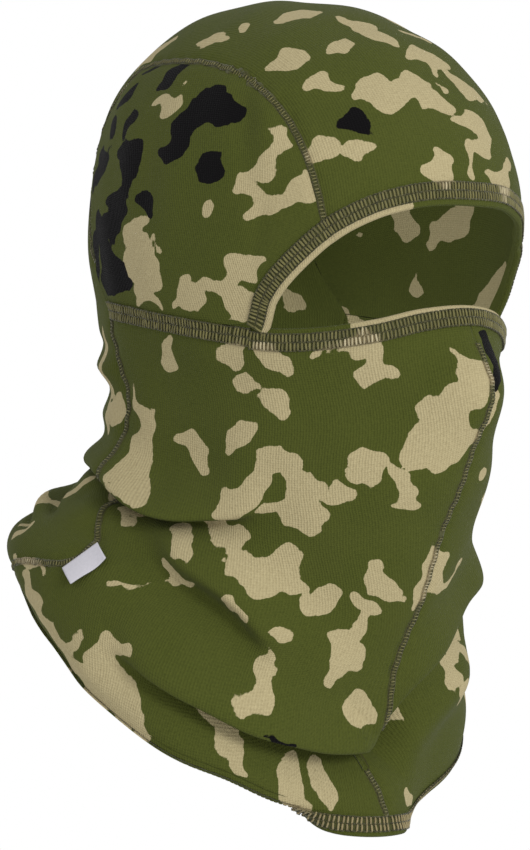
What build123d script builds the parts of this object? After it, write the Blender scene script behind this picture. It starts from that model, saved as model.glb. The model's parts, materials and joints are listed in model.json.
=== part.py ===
"""A one-hole knitted balaclava in the shape that it takes on a head, in millimetres.

The frame is the wearer's head: the origin is midway between the ears, +Z is up, the face looks
along -Y and the wearer's right ear is at -X.  Azimuth 0 is the face, 90 the right ear, 180 the nape.
The fabric's outer surface has two charts: upper(azimuth, latitude) over the skull, and
lower(azimuth, row) for the face, neck and bib.  Every panel, hem and seam is a thin solid on them.
"""

from build123d import *
import math
import os

# Fabric and thread
KNIT = 1.4                # one layer of the knit
HEM_FOLD = 2.8            # a turned and stitched edge, two layers
THREAD = 0.7              # how far a stitched seam stands over its underside
BITE = 0.25               # how far the stitches sink into the fabric
PANEL_GAP = 0.3           # half the gap between two panels that a seam joins
HEM_GAP = 1.5             # between the mask's moving edge and the fabric round it
BAND_WIDTH = 7.0          # the wide flatlock seams
BROW_HEM_WIDTH = 9.5      # the turned edges
MASK_HEM_WIDTH = 9.0
BOTTOM_HEM_WIDTH = 8.0
NARROW_SEAM_WIDTH = 3.6   # the crown, side and front seams
STITCH_SHARE = 0.75       # of the bottom hem's width, under its stitches
SEAM_END_GAP = 0.5        # between a panel's or seam's end and the bottom hem

# Skull: half axes at its widest level, and how it closes over the top
WIDEST_Z = 42.0
DOME_HEIGHT = 92.5
HALF_WIDTH = 82.0
HALF_LENGTH = 99.0
DOME_POWER = 2.15
VERTEX_SETBACK = 9.0      # the highest point lies this far behind the ears
TAPER_WIDTH = 5.0         # how much narrower and shorter the skull is at the cheek seam
TAPER_LENGTH = 4.5
TAPER_DEPTH = 37.0
MM_PER_DEGREE = DOME_HEIGHT * math.pi / 180

# The nose under the mask
NOSE_PROUD = 21.0
NOSE_Z = -30.0
NOSE_HALF_ANGLE = 14.0
NOSE_HALF_HEIGHT = 22.0

# The seam line between hood and mask: azimuth and height
CHEEK_LINE = [(0, 2.3), (12, 0.3), (24, -4.2), (37, -7.2), (50, -8), (60, -6.8), (75, -3.8), (90, -0.8),
              (105, 2.3), (123, 5.8), (140, 9), (160, 12), (180, 13)]

# Face, neck and bib: each row is (radius, height) at these azimuths, from the cheek line to the hem
COLUMNS = [0, 45, 90, 135, 180]
ROWS = [
    [(98, 2), (85, -8), (77, -1), (86, 8), (98, 13)],           # cheek line
    [(89, -30), (74, -28), (68, -22), (83, -12), (96, -8)],     # nose
    [(92, -62), (72, -59), (64, -50), (81, -38), (91, -34)],    # mouth
    [(81, -87), (68, -82), (65, -71), (84, -58), (93, -53)],    # jaw
    [(68, -118), (62, -106), (72, -90), (103, -73), (115, -64)],  # neck
    [(55, -145), (60, -132), (83, -112), (118, -83), (130, -72)],  # front pouch
    [(40, -172), (54, -160), (89, -135), (123, -92), (135, -79)],  # crease under the pouch
    [(48, -191), (52, -184), (92, -155), (122, -101), (135, -87)],  # bib
    [(52, -210), (47, -204), (88, -173), (119, -111), (130, -95)],  # hem
]
LAST_ROW = len(ROWS) - 1
HALF_TURN = 180
NEAR_SEAM = 6             # how closely the rows of two panels match only beside their seam
JAW_ROW = 3               # the mask moves above this row and stays still below it

# The eye opening's upper edge, on the outside of its hem: azimuth and height
BROW_LINE = [(0, 55.5), (10, 55), (18, 53.3), (28, 48.5), (39, 39), (50, 23.5), (57, 10.5), (61, -2)]
EYE_CORNER = 60.5
BROW_MM_PER_DEGREE = 1.5  # round the head at the eye opening
BROW_SEAM_AZIMUTH = 38.0  # where the crown seam meets the brow

# The crown seam's roll to the side at each pitch forward of the vertex, down to the cheek line
CROWN_SEAM = [(-127, 50.8), (-114, 49), (-90, 43.5), (-60, 36), (-40, 34.5), (-26, 38), (-13, 43), (0, 45.5),
              (14, 45.2), (30, 44), (57, 41.8), (80, 40), (92, 38)]
CROWN_SHARE = 0.62        # the part of the centre panel's length that lies above the cheek line
CHEEK_PITCH = -127.0      # where the crown seam meets the cheek seam
NAPE_PITCH = -104.0       # the same level at the middle of the nape
# The same seam below the cheek line: its azimuth at each row
SIDE_SEAM = [(0, 123), (0.5, 124), (1, 122), (1.5, 119), (2, 121), (2.5, 122), (3, 120.5), (3.5, 121),
             (4, 116.5), (4.5, 111.5), (5, 112.5), (5.5, 120), (6, 127), (7, 136), (8, 143)]

# The care label, sewn into the right side seam
LABEL_ROW = 4.85
LABEL_WIDTH = 18.0
LABEL_LENGTH = 11.0
LABEL_THICK = 0.6
LABEL_CLEARANCE = 1.2     # over the seam
LABEL_LIFT = 0.25         # how much it points away from the fabric, against along it

# How the shapes are worked out
SLOPE_STEP = 0.004        # of a surface's s or t, or of a line's t
LONG_STEP = 0.01          # of a seam's t, where the surface beside it is coarse
ROW_STEP = 0.2            # of a row
BESIDE_SEAM = 0.97        # a line this far across the centre panel gives the crown seam's normal
DEGREES_PER_S = 20        # how a flat strip's own s and t run on the charts
ROWS_PER_T = 0.5
LATITUDE_PER_T = 5
BACK_JOIN = 0.9           # from here the crown half of the centre panel turns into its back half
SIDE_PANEL_BOTTOM_GAP = 3.0  # degrees from the side panel's rear corner to the side seam
SIDE_PANEL_TOP_GAP = 4.0  # degrees of pitch from its upper rear corner to the cheek seam
EYE_CORNER_GAP = 1.5      # more room for the brow hem beside the eye corner
EYE_CORNER_EASE = 3       # a power: how fast the side panel's front edge straightens
SEAM_PASSES = 8


def between(points, x, level=True):
    """A smooth curve through (x, y) points, level at its ends or running on straight."""
    n = len(points)
    x = min(max(x, points[0][0]), points[-1][0])
    i = max(k for k in range(n - 1) if points[k][0] <= x)
    (x0, y0), (x1, y1) = points[i], points[i + 1]
    h = x1 - x0
    end = 0.0 if level else (y1 - y0) / h
    left = (y1 - points[i - 1][1]) / (x1 - points[i - 1][0]) if i else end
    right = (points[i + 2][1] - y0) / (points[i + 2][0] - x0) if i + 2 < n else end
    t = (x - x0) / h
    return (y0 * (1 + 2 * t) * (1 - t) ** 2 + left * h * t * (1 - t) ** 2
            + y1 * t * t * (3 - 2 * t) + right * h * t * t * (t - 1))


def radial(azimuth, radius, z):
    a = math.radians(azimuth)
    return Vector(-radius * math.sin(a), -radius * math.cos(a), z)


def fold(azimuth):
    """Azimuths from 0 to 180, the same on both sides."""
    azimuth = (azimuth + 180) % 360 - 180
    return abs(azimuth)


def cheek_z(azimuth):
    return between(CHEEK_LINE, fold(azimuth))


def brow_z(azimuth):
    return between(BROW_LINE, fold(azimuth))


def oval(azimuth, half_width, half_length):
    a = math.radians(azimuth)
    return 1 / math.hypot(math.sin(a) / half_width, math.cos(a) / half_length)


def upper(azimuth, latitude):
    """The skull: latitude 90 is the vertex and 0 the widest level."""
    if latitude < 0:
        z = WIDEST_Z + latitude * MM_PER_DEGREE
        k = ((WIDEST_Z - z) / TAPER_DEPTH) ** 2
        return radial(azimuth, oval(azimuth, HALF_WIDTH - TAPER_WIDTH * k, HALF_LENGTH - TAPER_LENGTH * k), z)
    rise = math.sin(math.radians(latitude))
    share = max(0.0, 1 - rise ** DOME_POWER) ** (1 / DOME_POWER)
    point = radial(azimuth, oval(azimuth, HALF_WIDTH, HALF_LENGTH) * share, WIDEST_Z + DOME_HEIGHT * rise)
    return point + Vector(0, VERTEX_SETBACK * rise * rise, 0)


def latitude_at(z):
    if z < WIDEST_Z:
        return (z - WIDEST_Z) / MM_PER_DEGREE
    return math.degrees(math.asin((z - WIDEST_Z) / DOME_HEIGHT))


def direction(azimuth, latitude):
    a, b = math.radians(azimuth), math.radians(latitude)
    return Vector(-math.cos(b) * math.sin(a), -math.cos(b) * math.cos(a), math.sin(b))


def skull(d):
    """The point of the skull chart in a direction."""
    d = d.normalized()
    return upper(math.degrees(math.atan2(-d.X, -d.Y)), math.degrees(math.asin(max(-1.0, min(1.0, d.Z)))))


def rolled(pitch, roll):
    """The direction at a pitch forward of the vertex and a roll towards the right ear."""
    p, r = math.radians(pitch), math.radians(roll)
    return Vector(-math.sin(r), -math.cos(r) * math.sin(p), math.cos(r) * math.cos(p))


def crown_roll(pitch):
    return between(CROWN_SEAM, pitch)


def lower(azimuth, row):
    """Face, neck and bib: row 0 is the cheek line and LAST_ROW the hem."""
    side = fold(azimuth)
    levels = [[between([(i, ROWS[i][c][k]) for i in range(LAST_ROW + 1)], row, level=False) for k in (0, 1)]
              for c in range(len(COLUMNS))]
    radius = between(list(zip(COLUMNS, [level[0] for level in levels])), side)
    z = between(list(zip(COLUMNS, [level[1] for level in levels])), side)
    near_top = max(0.0, 1 - row) ** 2
    drawn = between([(c, ROWS[0][i][1]) for i, c in enumerate(COLUMNS)], side)
    z += near_top * (cheek_z(side) - drawn)
    k = ((WIDEST_Z - cheek_z(side)) / TAPER_DEPTH) ** 2
    skull_radius = oval(side, HALF_WIDTH - TAPER_WIDTH * k, HALF_LENGTH - TAPER_LENGTH * k)
    radius += near_top * (skull_radius - between([(c, ROWS[0][i][0]) for i, c in enumerate(COLUMNS)], side))
    nose = math.exp(-(side / NOSE_HALF_ANGLE) ** 2 - ((z - NOSE_Z) / NOSE_HALF_HEIGHT) ** 2)
    return radial(azimuth, radius + NOSE_PROUD * nose, z)


def side_seam(row):
    return between(SIDE_SEAM, row)


def facing_out(n, p):
    """The normal n or its reverse, whichever points away from the wearer's head and neck at p."""
    away = Vector(p.X, p.Y * 0.7 - 15, p.Z * 0.4)
    return n if n.dot(away) > 0 else n * -1


def outward(surface, s, t):
    """The unit normal of surface(s, t), away from the head."""
    across = surface(s + SLOPE_STEP, t) - surface(s - SLOPE_STEP, t)
    along = surface(s, t + SLOPE_STEP) - surface(s, t - SLOPE_STEP)
    return facing_out(across.cross(along).normalized(), surface(s, t))


def ruled(first, second):
    return Face.make_surface_from_curves(first, second)


def closed_solid(outside, inside):
    """The solid between two grids of points with the same layout, whose rows are smooth curves."""
    tops = [Edge.make_spline(row) for row in outside]
    bottoms = [Edge.make_spline(row) for row in inside]
    faces = [ruled(tops[end], bottoms[end]) for end in (0, -1)]
    for k in range(len(outside) - 1):
        faces += [ruled(tops[k], tops[k + 1]), ruled(bottoms[k], bottoms[k + 1])]
        for end in (0, -1):
            edges = [Edge.make_line(grid[k][end], grid[k + 1][end]) for grid in (outside, inside)]
            faces.append(ruled(*edges))
    return Solid(Shell(faces))


def panel(surface, rows, spans, inner=-KNIT, outer=0.0, along_t=True):
    """A layer on surface(s, t), s and t from 0 to 1, between two heights over it."""
    outside, inside = [], []
    for j in range(rows + 1):
        spots = [(j / rows, i / spans) for i in range(spans + 1)]
        spots = spots if along_t else [(t, s) for s, t in spots]
        points = [surface(s, t) for s, t in spots]
        normals = [outward(surface, s, t) for s, t in spots]
        outside.append([p + n * outer for p, n in zip(points, normals)])
        inside.append([p + n * inner for p, n in zip(points, normals)])
    return closed_solid(outside, inside)


def strip(line, normal, width, inner, outer, spans):
    """A band of constant width along line(t), t from 0 to 1, lying on the surface with that normal."""
    sections = []
    for j in range(spans + 1):
        t = j / spans
        before, after = max(0.0, t - SLOPE_STEP), min(1.0, t + SLOPE_STEP)
        n = normal(t)
        across = n.cross((line(after) - line(before)).normalized()).normalized()
        sections.append((line(t), across, n))
    grids = [[[p + across * (width * k) + n * height for p, across, n in sections] for k in (-0.5, 0, 0.5)]
             for height in (outer, inner)]
    return closed_solid(*grids)


def centre_surface(s, t):
    """From the brow over the crown and down the nape to the back hem; s runs across it."""
    side = 2 * s - 1
    if t <= CROWN_SHARE:
        end = NAPE_PITCH + (CHEEK_PITCH - NAPE_PITCH) * side * side
        pitch_now = brow_pitch(side) + (end - brow_pitch(side)) * t / CROWN_SHARE
        roll = side * (crown_roll(pitch_now) - math.degrees(PANEL_GAP / HALF_WIDTH))
        d = rolled(pitch_now, roll)
        point = skull(d)
        joined = max(0.0, (t / CROWN_SHARE - BACK_JOIN) / (1 - BACK_JOIN)) ** 2
        return point * (1 - joined) + back_point(side, 0.0) * joined
    return back_point(side, (t - CROWN_SHARE) / (1 - CROWN_SHARE))


def back_point(side, share):
    """The centre panel below the cheek line: share runs from there to the bottom hem."""
    row = share * seam_row_at(panel_end)
    seam = side_seam(row) + math.degrees(PANEL_GAP / HALF_WIDTH)
    azimuth = HALF_TURN - side * (HALF_TURN - seam)
    near = abs(side) ** NEAR_SEAM
    return lower(azimuth, share * panel_end(azimuth) * (1 - near) + row * near)


def brow_pitch(side):
    """The pitch of the brow hem's outer edge, across the centre panel."""
    azimuth = side * BROW_SEAM_AZIMUTH
    d = direction(azimuth, latitude_at(brow_z(azimuth) + HEM_GAP))
    return math.degrees(math.atan2(-d.Y, d.Z))


def side_surface(s, t):
    """The panel over the ear: s runs back from the eye opening, t up from the cheek line."""
    last = side_seam(0) - SIDE_PANEL_BOTTOM_GAP
    bottom_az = EYE_CORNER + (last - EYE_CORNER) * s
    bottom = direction(bottom_az, latitude_at(cheek_z(bottom_az) + PANEL_GAP))
    start, end = brow_pitch(1), CHEEK_PITCH + SIDE_PANEL_TOP_GAP
    pitch = start + (end - start) * s
    top = rolled(pitch, crown_roll(pitch) + math.degrees(PANEL_GAP / HALF_WIDTH))
    straight = bottom * (1 - t) + top * t
    first_az = EYE_CORNER + (BROW_SEAM_AZIMUTH - EYE_CORNER) * t
    front = direction(first_az, latitude_at(brow_z(first_az) + HEM_GAP + (1 - t) * EYE_CORNER_GAP))
    corner = direction(EYE_CORNER, latitude_at(cheek_z(EYE_CORNER) + PANEL_GAP))
    top_corner = rolled(start, crown_roll(start) + math.degrees(PANEL_GAP / HALF_WIDTH))
    chord = corner * (1 - t) + top_corner * t
    return skull(straight + (front - chord) * (1 - s) ** EYE_CORNER_EASE)


def row_past(azimuth, row, distance):
    """The row that lies a short distance down the fabric from another one."""
    step = ROW_STEP if distance > 0 else -ROW_STEP
    pace = (lower(azimuth, row + step) - lower(azimuth, row)).length / ROW_STEP
    return row + distance / pace


def face_top(azimuth):
    """Where the face panel starts: under the mask's hem, or at the cheek seam behind the eye corner."""
    k = min(1.0, max(0.0, (fold(azimuth) - EYE_CORNER + 1) / 3))
    k = k * k * (3 - 2 * k)
    return row_past(azimuth, 0, (MASK_HEM_WIDTH / 2 + HEM_GAP) * (1 - k) + PANEL_GAP * k)


def hem_top(azimuth, gap=0.0):
    return row_past(azimuth, LAST_ROW, -BOTTOM_HEM_WIDTH - gap)


def panel_end(azimuth):
    """Where the panels stop above the bottom hem."""
    return hem_top(azimuth, SEAM_END_GAP)


def seam_row_at(edge):
    """The row where the side seam crosses an edge that is given as a row at each azimuth."""
    row = 0.0
    for _ in range(SEAM_PASSES):
        row = edge(side_seam(row))
    return row


def front_edge(row):
    """The azimuth of the front panel's edge at the side seam."""
    return side_seam(row) - math.degrees(PANEL_GAP / HALF_WIDTH)


def front_surface(top, bottom):
    """A part of the right front panel between two edges, given as rows at each azimuth.
    s runs from the front seam back to the side seam."""
    first = math.degrees(PANEL_GAP / HALF_WIDTH)
    seam_top, seam_bottom = seam_row_at(top), seam_row_at(bottom)

    def surface(s, t):
        seam_row = seam_top + (seam_bottom - seam_top) * t
        azimuth = first + (front_edge(seam_row) - first) * s
        row = top(azimuth) + (bottom(azimuth) - top(azimuth)) * t
        near = s ** NEAR_SEAM
        return lower(azimuth, row * (1 - near) + seam_row * near)

    return surface


def jaw_row(azimuth):
    return JAW_ROW


def hem_surface(s, t):
    """The right half of the bottom hem, from the front to the back."""
    azimuth = s * HALF_TURN
    top = hem_top(azimuth)
    return lower(azimuth, top + (LAST_ROW - top) * t)


def hem_stitch_surface(s, t):
    azimuth = s * HALF_TURN
    top = hem_top(azimuth) + STITCH_SHARE * 0.1
    return lower(azimuth, top + (LAST_ROW - top) * t * STITCH_SHARE)


def crown_edge(t):
    """The line that the right crown seam follows, from the brow hem to the cheek seam."""
    return centre_surface(1, t * CROWN_SHARE)


def crown_inside(t):
    return centre_surface(BESIDE_SEAM, t * CROWN_SHARE)


def seam_normal(line, inside):
    """The outward normal along a line on the fabric, from a second line beside it."""
    def normal(t):
        a, b = max(0.0, t - LONG_STEP), min(1.0, t + LONG_STEP)
        n = (line(b) - line(a)).cross(inside(t) - line(t)).normalized()
        return facing_out(n, line(t))

    return normal


def row_line(place):
    """A line on the lower chart, place(t) giving azimuth and row, with its outward normal."""
    def line(t):
        return lower(*place(t))

    def normal(t):
        azimuth, row = place(t)
        return outward(lambda s, u: lower(azimuth + s * DEGREES_PER_S, row + u * ROWS_PER_T), 0, 0)

    return line, normal


def skull_line(place):
    """A line on the upper chart, place(t) giving azimuth and latitude, with its outward normal."""
    def line(t):
        return upper(*place(t))

    def normal(t):
        azimuth, latitude = place(t)
        return outward(lambda s, u: upper(azimuth + s * DEGREES_PER_S, latitude + u * LATITUDE_PER_T), 0, 0)

    return line, normal


def brow_place(inset):
    """Along the eye opening's upper edge from corner to corner, a distance inside the hem's outer edge."""
    def place(t):
        azimuth = (2 * t - 1) * (EYE_CORNER - 1)
        rise = (brow_z(azimuth + 1) - brow_z(azimuth - 1)) / 2
        length = math.hypot(rise, BROW_MM_PER_DEGREE)
        turn = inset * rise / length / BROW_MM_PER_DEGREE
        drop = inset * BROW_MM_PER_DEGREE / length
        return azimuth + turn, latitude_at(brow_z(azimuth) - drop)

    return place


def mask_place(inset):
    """Along the eye opening's lower edge, at a distance below the middle of its hem."""
    def place(t):
        azimuth = (2 * t - 1) * (EYE_CORNER - 3)
        return azimuth, row_past(azimuth, 0, inset) if inset > 0 else 0.0

    return place


def cheek_place(t):
    """Along the right cheek seam, from the eye corner to the side seam."""
    first, last = EYE_CORNER + 0.5, side_seam(0)
    return first + (last - first) * t, 0.0


def side_place(t):
    row = t * seam_row_at(panel_end)
    return side_seam(row), row


def face_front_place(t):
    top = row_past(0, 0, MASK_HEM_WIDTH / 2 + HEM_GAP)
    return 0.0, top + (JAW_ROW - top) * t


def neck_front_place(t):
    return 0.0, JAW_ROW + (panel_end(0) - JAW_ROW) * t


def stitches(line, normal, width, spans):
    return strip(line, normal, width, -BITE, THREAD, spans)


def mirrored(solid):
    return solid.mirror(Plane.YZ)


def label_frame():
    """The care label's sewn edge: its middle, the way it runs and the way the label points."""
    line, normal = row_line(lambda t: (side_seam(LABEL_ROW + t), LABEL_ROW + t))
    up = normal(0)
    along = (line(ROW_STEP) - line(-ROW_STEP)).normalized()
    forward = up.cross(along).normalized()
    forward = forward if forward.Y < 0 else forward * -1
    away = (forward + up * LABEL_LIFT).normalized()
    return line(0) + up * LABEL_CLEARANCE, along, away


def label():
    edge, along, away = label_frame()
    plane = Plane(origin=edge + away * (LABEL_LENGTH / 2), x_dir=along, z_dir=along.cross(away))
    return plane * Box(LABEL_WIDTH, LABEL_LENGTH, LABEL_THICK)


def save(name, shape):
    shape.label = name
    export_step(shape, f"parts/{name}.step")


def save_pair(name, shape):
    """The wearer's right and left pieces."""
    save(f"{name}_right", shape)
    save(f"{name}_left", mirrored(shape))


def both_halves(shape):
    """A ring from its right half, which ends on the plane of symmetry."""
    return shape + mirrored(shape)


os.makedirs("parts", exist_ok=True)

# Fabric panels
save("centre_panel", panel(centre_surface, 12, 48))
save_pair("side_panel", panel(side_surface, 12, 24, along_t=False))
save_pair("face_panel", panel(front_surface(face_top, jaw_row), 12, 24, along_t=False))
save_pair("neck_panel", panel(front_surface(jaw_row, panel_end), 16, 24, along_t=False))

# Hems
brow_line, brow_normal = skull_line(brow_place(BROW_HEM_WIDTH / 2))
save("brow_hem", strip(brow_line, brow_normal, BROW_HEM_WIDTH, -HEM_FOLD, 0.0, 40))
mask_line, mask_normal = row_line(mask_place(0))
save("mask_hem", strip(mask_line, mask_normal, MASK_HEM_WIDTH, -HEM_FOLD, 0.0, 40))
save("bottom_hem", both_halves(panel(hem_surface, 1, 32, inner=-HEM_FOLD, along_t=False)))

# Stitching
brow_stitch_line, brow_stitch_normal = skull_line(brow_place(BAND_WIDTH / 2))
save("brow_hem_stitches", stitches(brow_stitch_line, brow_stitch_normal, BAND_WIDTH, 40))
mask_stitch_line, mask_stitch_normal = row_line(mask_place((MASK_HEM_WIDTH - BAND_WIDTH) / 2))
save("mask_hem_stitches", stitches(mask_stitch_line, mask_stitch_normal, BAND_WIDTH, 40))
save("bottom_hem_stitches", both_halves(panel(hem_stitch_surface, 1, 32, -BITE, THREAD, along_t=False)))
save_pair("cheek_seam", stitches(*row_line(cheek_place), BAND_WIDTH, 20))
save_pair("crown_seam", stitches(crown_edge, seam_normal(crown_edge, crown_inside), NARROW_SEAM_WIDTH, 40))
save_pair("side_seam", stitches(*row_line(side_place), NARROW_SEAM_WIDTH, 40))
save("face_front_seam", stitches(*row_line(face_front_place), NARROW_SEAM_WIDTH, 16))
save("neck_front_seam", stitches(*row_line(neck_front_place), NARROW_SEAM_WIDTH, 24))

save("care_label", label())
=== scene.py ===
"""The looks of the knitted balaclava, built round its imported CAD.

Shapes are worked out in millimetres in the wearer's frame: the origin is midway between the ears, +Z is up
and the face looks along -Y.  Azimuth 0 is the face, 90 the right ear and 180 the nape.  Two charts give the
fabric's outer surface: upper(azimuth, latitude) over the skull and lower(azimuth, row) for the face, neck
and bib.  drape() then pushes creases, rolls and pleats into whatever lies on them.
"""

import json
import math

import bpy
import numpy as np
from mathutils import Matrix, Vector
from mathutils.bvhtree import BVHTree


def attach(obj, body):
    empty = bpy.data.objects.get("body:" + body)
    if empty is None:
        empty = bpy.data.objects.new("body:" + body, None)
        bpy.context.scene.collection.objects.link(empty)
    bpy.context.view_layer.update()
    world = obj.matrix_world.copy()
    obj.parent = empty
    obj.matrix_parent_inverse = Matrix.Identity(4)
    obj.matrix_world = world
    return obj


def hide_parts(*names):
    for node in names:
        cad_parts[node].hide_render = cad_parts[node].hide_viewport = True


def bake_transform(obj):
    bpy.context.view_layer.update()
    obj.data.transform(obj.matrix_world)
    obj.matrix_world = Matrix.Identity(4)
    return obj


MM = 0.001

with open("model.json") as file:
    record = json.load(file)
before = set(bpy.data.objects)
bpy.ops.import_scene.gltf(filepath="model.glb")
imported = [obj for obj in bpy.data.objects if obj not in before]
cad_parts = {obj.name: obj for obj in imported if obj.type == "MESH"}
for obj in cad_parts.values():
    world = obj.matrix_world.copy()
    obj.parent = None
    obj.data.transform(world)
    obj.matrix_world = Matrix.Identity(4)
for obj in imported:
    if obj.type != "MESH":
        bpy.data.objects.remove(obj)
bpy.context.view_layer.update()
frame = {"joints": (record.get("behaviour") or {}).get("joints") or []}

# ---------------------------------------------------------------- sizes, in millimetres and degrees

KNIT = 1.4
HEM_FOLD = 2.8
BAND_WIDTH = 7.0
BROW_HEM_WIDTH = 9.5
MASK_HEM_WIDTH = 9.0
BOTTOM_HEM_WIDTH = 8.0
NARROW_SEAM_WIDTH = 3.0
NARROW_RUNG = 1.9
UNDER_HEM = 2.5           # how far the panels run on beneath the brow hem
UNDER_BIB_HEM = 0.6       # and beneath the bottom hem

WIDEST_Z = 42.0
DOME_HEIGHT = 92.5
HALF_WIDTH = 82.0
HALF_LENGTH = 99.0
DOME_POWER = 2.15
VERTEX_SETBACK = 9.0
TAPER_WIDTH = 5.0
TAPER_LENGTH = 4.5
TAPER_DEPTH = 37.0
MM_PER_DEGREE = DOME_HEIGHT * math.pi / 180

NOSE_PROUD = 21.0
NOSE_Z = -30.0
NOSE_HALF_ANGLE = 14.0
NOSE_HALF_HEIGHT = 22.0

CHEEK_LINE = [(0, 2.3), (12, .3), (24, -4.2), (37, -7.2), (50, -8), (60, -6.8), (75, -3.8), (90, -.8),
              (105, 2.3), (123, 5.8), (140, 9), (160, 12), (180, 13)]
COLUMNS = [0, 45, 90, 135, 180]
ROWS = [
    [(98, 2), (85, -8), (77, -1), (86, 8), (98, 13)],
    [(89, -30), (74, -28), (68, -22), (83, -12), (96, -8)],
    [(92, -62), (72, -59), (64, -50), (81, -38), (91, -34)],
    [(81, -87), (68, -82), (65, -71), (84, -58), (93, -53)],
    [(68, -118), (62, -106), (72, -90), (103, -73), (115, -64)],
    [(55, -145), (60, -132), (83, -112), (118, -83), (130, -72)],
    [(40, -172), (54, -160), (89, -135), (123, -92), (135, -79)],
    [(48, -191), (52, -184), (92, -155), (122, -101), (135, -87)],
    [(52, -210), (47, -204), (88, -173), (119, -111), (130, -95)],
]
LAST_ROW = len(ROWS) - 1
NEAR_SEAM = 6

BROW_LINE = [(0, 55.5), (10, 55), (18, 53.3), (28, 48.5), (39, 39), (50, 23.5), (57, 10.5), (61, -2)]
EYE_CORNER = 60.5
BROW_MM_PER_DEGREE = 1.5
BROW_SEAM_AZIMUTH = 38.0

CROWN_SEAM = [(-127, 50.8), (-114, 49), (-90, 43.5), (-60, 36), (-40, 34.5), (-26, 38), (-13, 43), (0, 45.5),
              (14, 45.2), (30, 44), (57, 41.8), (80, 40), (92, 38)]
CROWN_SHARE = 0.62
CHEEK_PITCH = -127.0
NAPE_PITCH = -104.0
SIDE_SEAM = [(0, 123), (.5, 124), (1, 122), (1.5, 119), (2, 121), (2.5, 122), (3, 120.5), (3.5, 121),
             (4, 116.5), (4.5, 111.5), (5, 112.5), (5.5, 120), (6, 127), (7, 136), (8, 143)]
FRONT_SEAM = [(0, 0), (3.8, 0), (4.4, 3), (4.9, 7), (5.4, 9), (5.9, 7), (6.5, 4), (7.3, 1), (8, 0)]

# azimuth and how far the bottom hem is turned in under the bib, in degrees
HEM_TURN = [(0, 0), (24, 0), (34, 15), (44, 60), (54, 100), (80, 105), (140, 95), (165, 40), (195, 20),
            (250, 30), (310, 30), (345, 0), (360, 0)]
# azimuth and the share of the hem's width that lies below the panels
HEM_SHOWN = [(0, 1), (24, 1), (34, .95), (44, .8), (56, .6), (72, .55), (90, .35), (110, .1), (140, .1),
             (165, .7), (195, .9), (250, .9), (345, 1), (360, 1)]

LABEL_WIDTH = 18.0
LABEL_LENGTH = 11.0
LABEL_ROW = 4.85
LABEL_REACH = 12.0        # how far above its edge the fabric is looked for
LABEL_GAP = 0.3
LABEL_THICKNESS = 0.35

ROW_STEP = 0.2            # the step that a pace down the fabric is measured over
SETTLING_PASSES = 8
CREASE_STEPS = 40         # steps along a crease for each of its points
CREASE_REACH = 3.2        # how many widths away a crease still pushes
CREASE_BATCH = 4000
RIPPLE_LENGTH = 9.0
DIP_WIDTH = 3.2
DIP_RIPPLE = 0.35
CRUMPLE = 0.45
CROWN_SEAM_END = 0.9      # the crown seam's share of the way down to the cheek seam


# ---------------------------------------------------------------- charts

def curve(points, x, level=True):
    """A smooth curve through (x, y) points, level at its ends or running on straight."""
    knots = np.array([p[0] for p in points], float)
    values = np.array([p[1] for p in points], float)
    slopes = np.zeros_like(values)
    slopes[1:-1] = (values[2:] - values[:-2]) / (knots[2:] - knots[:-2])
    if not level:
        slopes[0] = (values[1] - values[0]) / (knots[1] - knots[0])
        slopes[-1] = (values[-1] - values[-2]) / (knots[-1] - knots[-2])
    x = np.clip(x, knots[0], knots[-1])
    i = np.clip(np.searchsorted(knots, x, side="right") - 1, 0, len(knots) - 2)
    return hermite(knots[i], knots[i + 1], values[i], values[i + 1], slopes[i], slopes[i + 1], x)


def hermite(x0, x1, y0, y1, m0, m1, x):
    h = x1 - x0
    t = (x - x0) / h
    return (y0 * (1 + 2 * t) * (1 - t) ** 2 + m0 * h * t * (1 - t) ** 2
            + y1 * t * t * (3 - 2 * t) + m1 * h * t * t * (t - 1))


def unit(v):
    return v / np.maximum(np.linalg.norm(v, axis=-1, keepdims=True), 1e-9)


def dot(a, b):
    return np.sum(a * b, axis=-1)


def fold_side(azimuth):
    """Azimuths from 0 to 180, the same on both sides."""
    return np.abs((azimuth + 180) % 360 - 180)


def oval(azimuth, half_width, half_length):
    a = np.radians(azimuth)
    return 1 / np.hypot(np.sin(a) / half_width, np.cos(a) / half_length)


def around(azimuth, radius, z):
    a = np.radians(azimuth)
    return np.stack(np.broadcast_arrays(-radius * np.sin(a), -radius * np.cos(a), z), -1)


def cheek_z(azimuth):
    return curve(CHEEK_LINE, fold_side(azimuth))


def brow_z(azimuth):
    return curve(BROW_LINE, fold_side(azimuth))


def taper(azimuth, z):
    k = (np.maximum(0, WIDEST_Z - z) / TAPER_DEPTH) ** 2
    return oval(azimuth, HALF_WIDTH - TAPER_WIDTH * k, HALF_LENGTH - TAPER_LENGTH * k)


def upper(azimuth, latitude):
    """The skull: latitude 90 is the vertex and 0 the widest level."""
    azimuth, latitude = np.broadcast_arrays(np.asarray(azimuth, float), np.asarray(latitude, float))
    rise = np.sin(np.radians(np.maximum(latitude, 0)))
    share = np.maximum(0, 1 - rise ** DOME_POWER) ** (1 / DOME_POWER)
    z = np.where(latitude < 0, WIDEST_Z + latitude * MM_PER_DEGREE, WIDEST_Z + DOME_HEIGHT * rise)
    points = around(azimuth, taper(azimuth, z) * share, z)
    points[..., 1] += VERTEX_SETBACK * rise * rise
    return points


def latitude_at(z):
    above = np.degrees(np.arcsin(np.clip((z - WIDEST_Z) / DOME_HEIGHT, 0, 1)))
    return np.where(z < WIDEST_Z, (z - WIDEST_Z) / MM_PER_DEGREE, above)


def direction(azimuth, latitude):
    a, b = np.radians(azimuth), np.radians(latitude)
    return np.stack(np.broadcast_arrays(-np.cos(b) * np.sin(a), -np.cos(b) * np.cos(a), np.sin(b)), -1)


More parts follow.
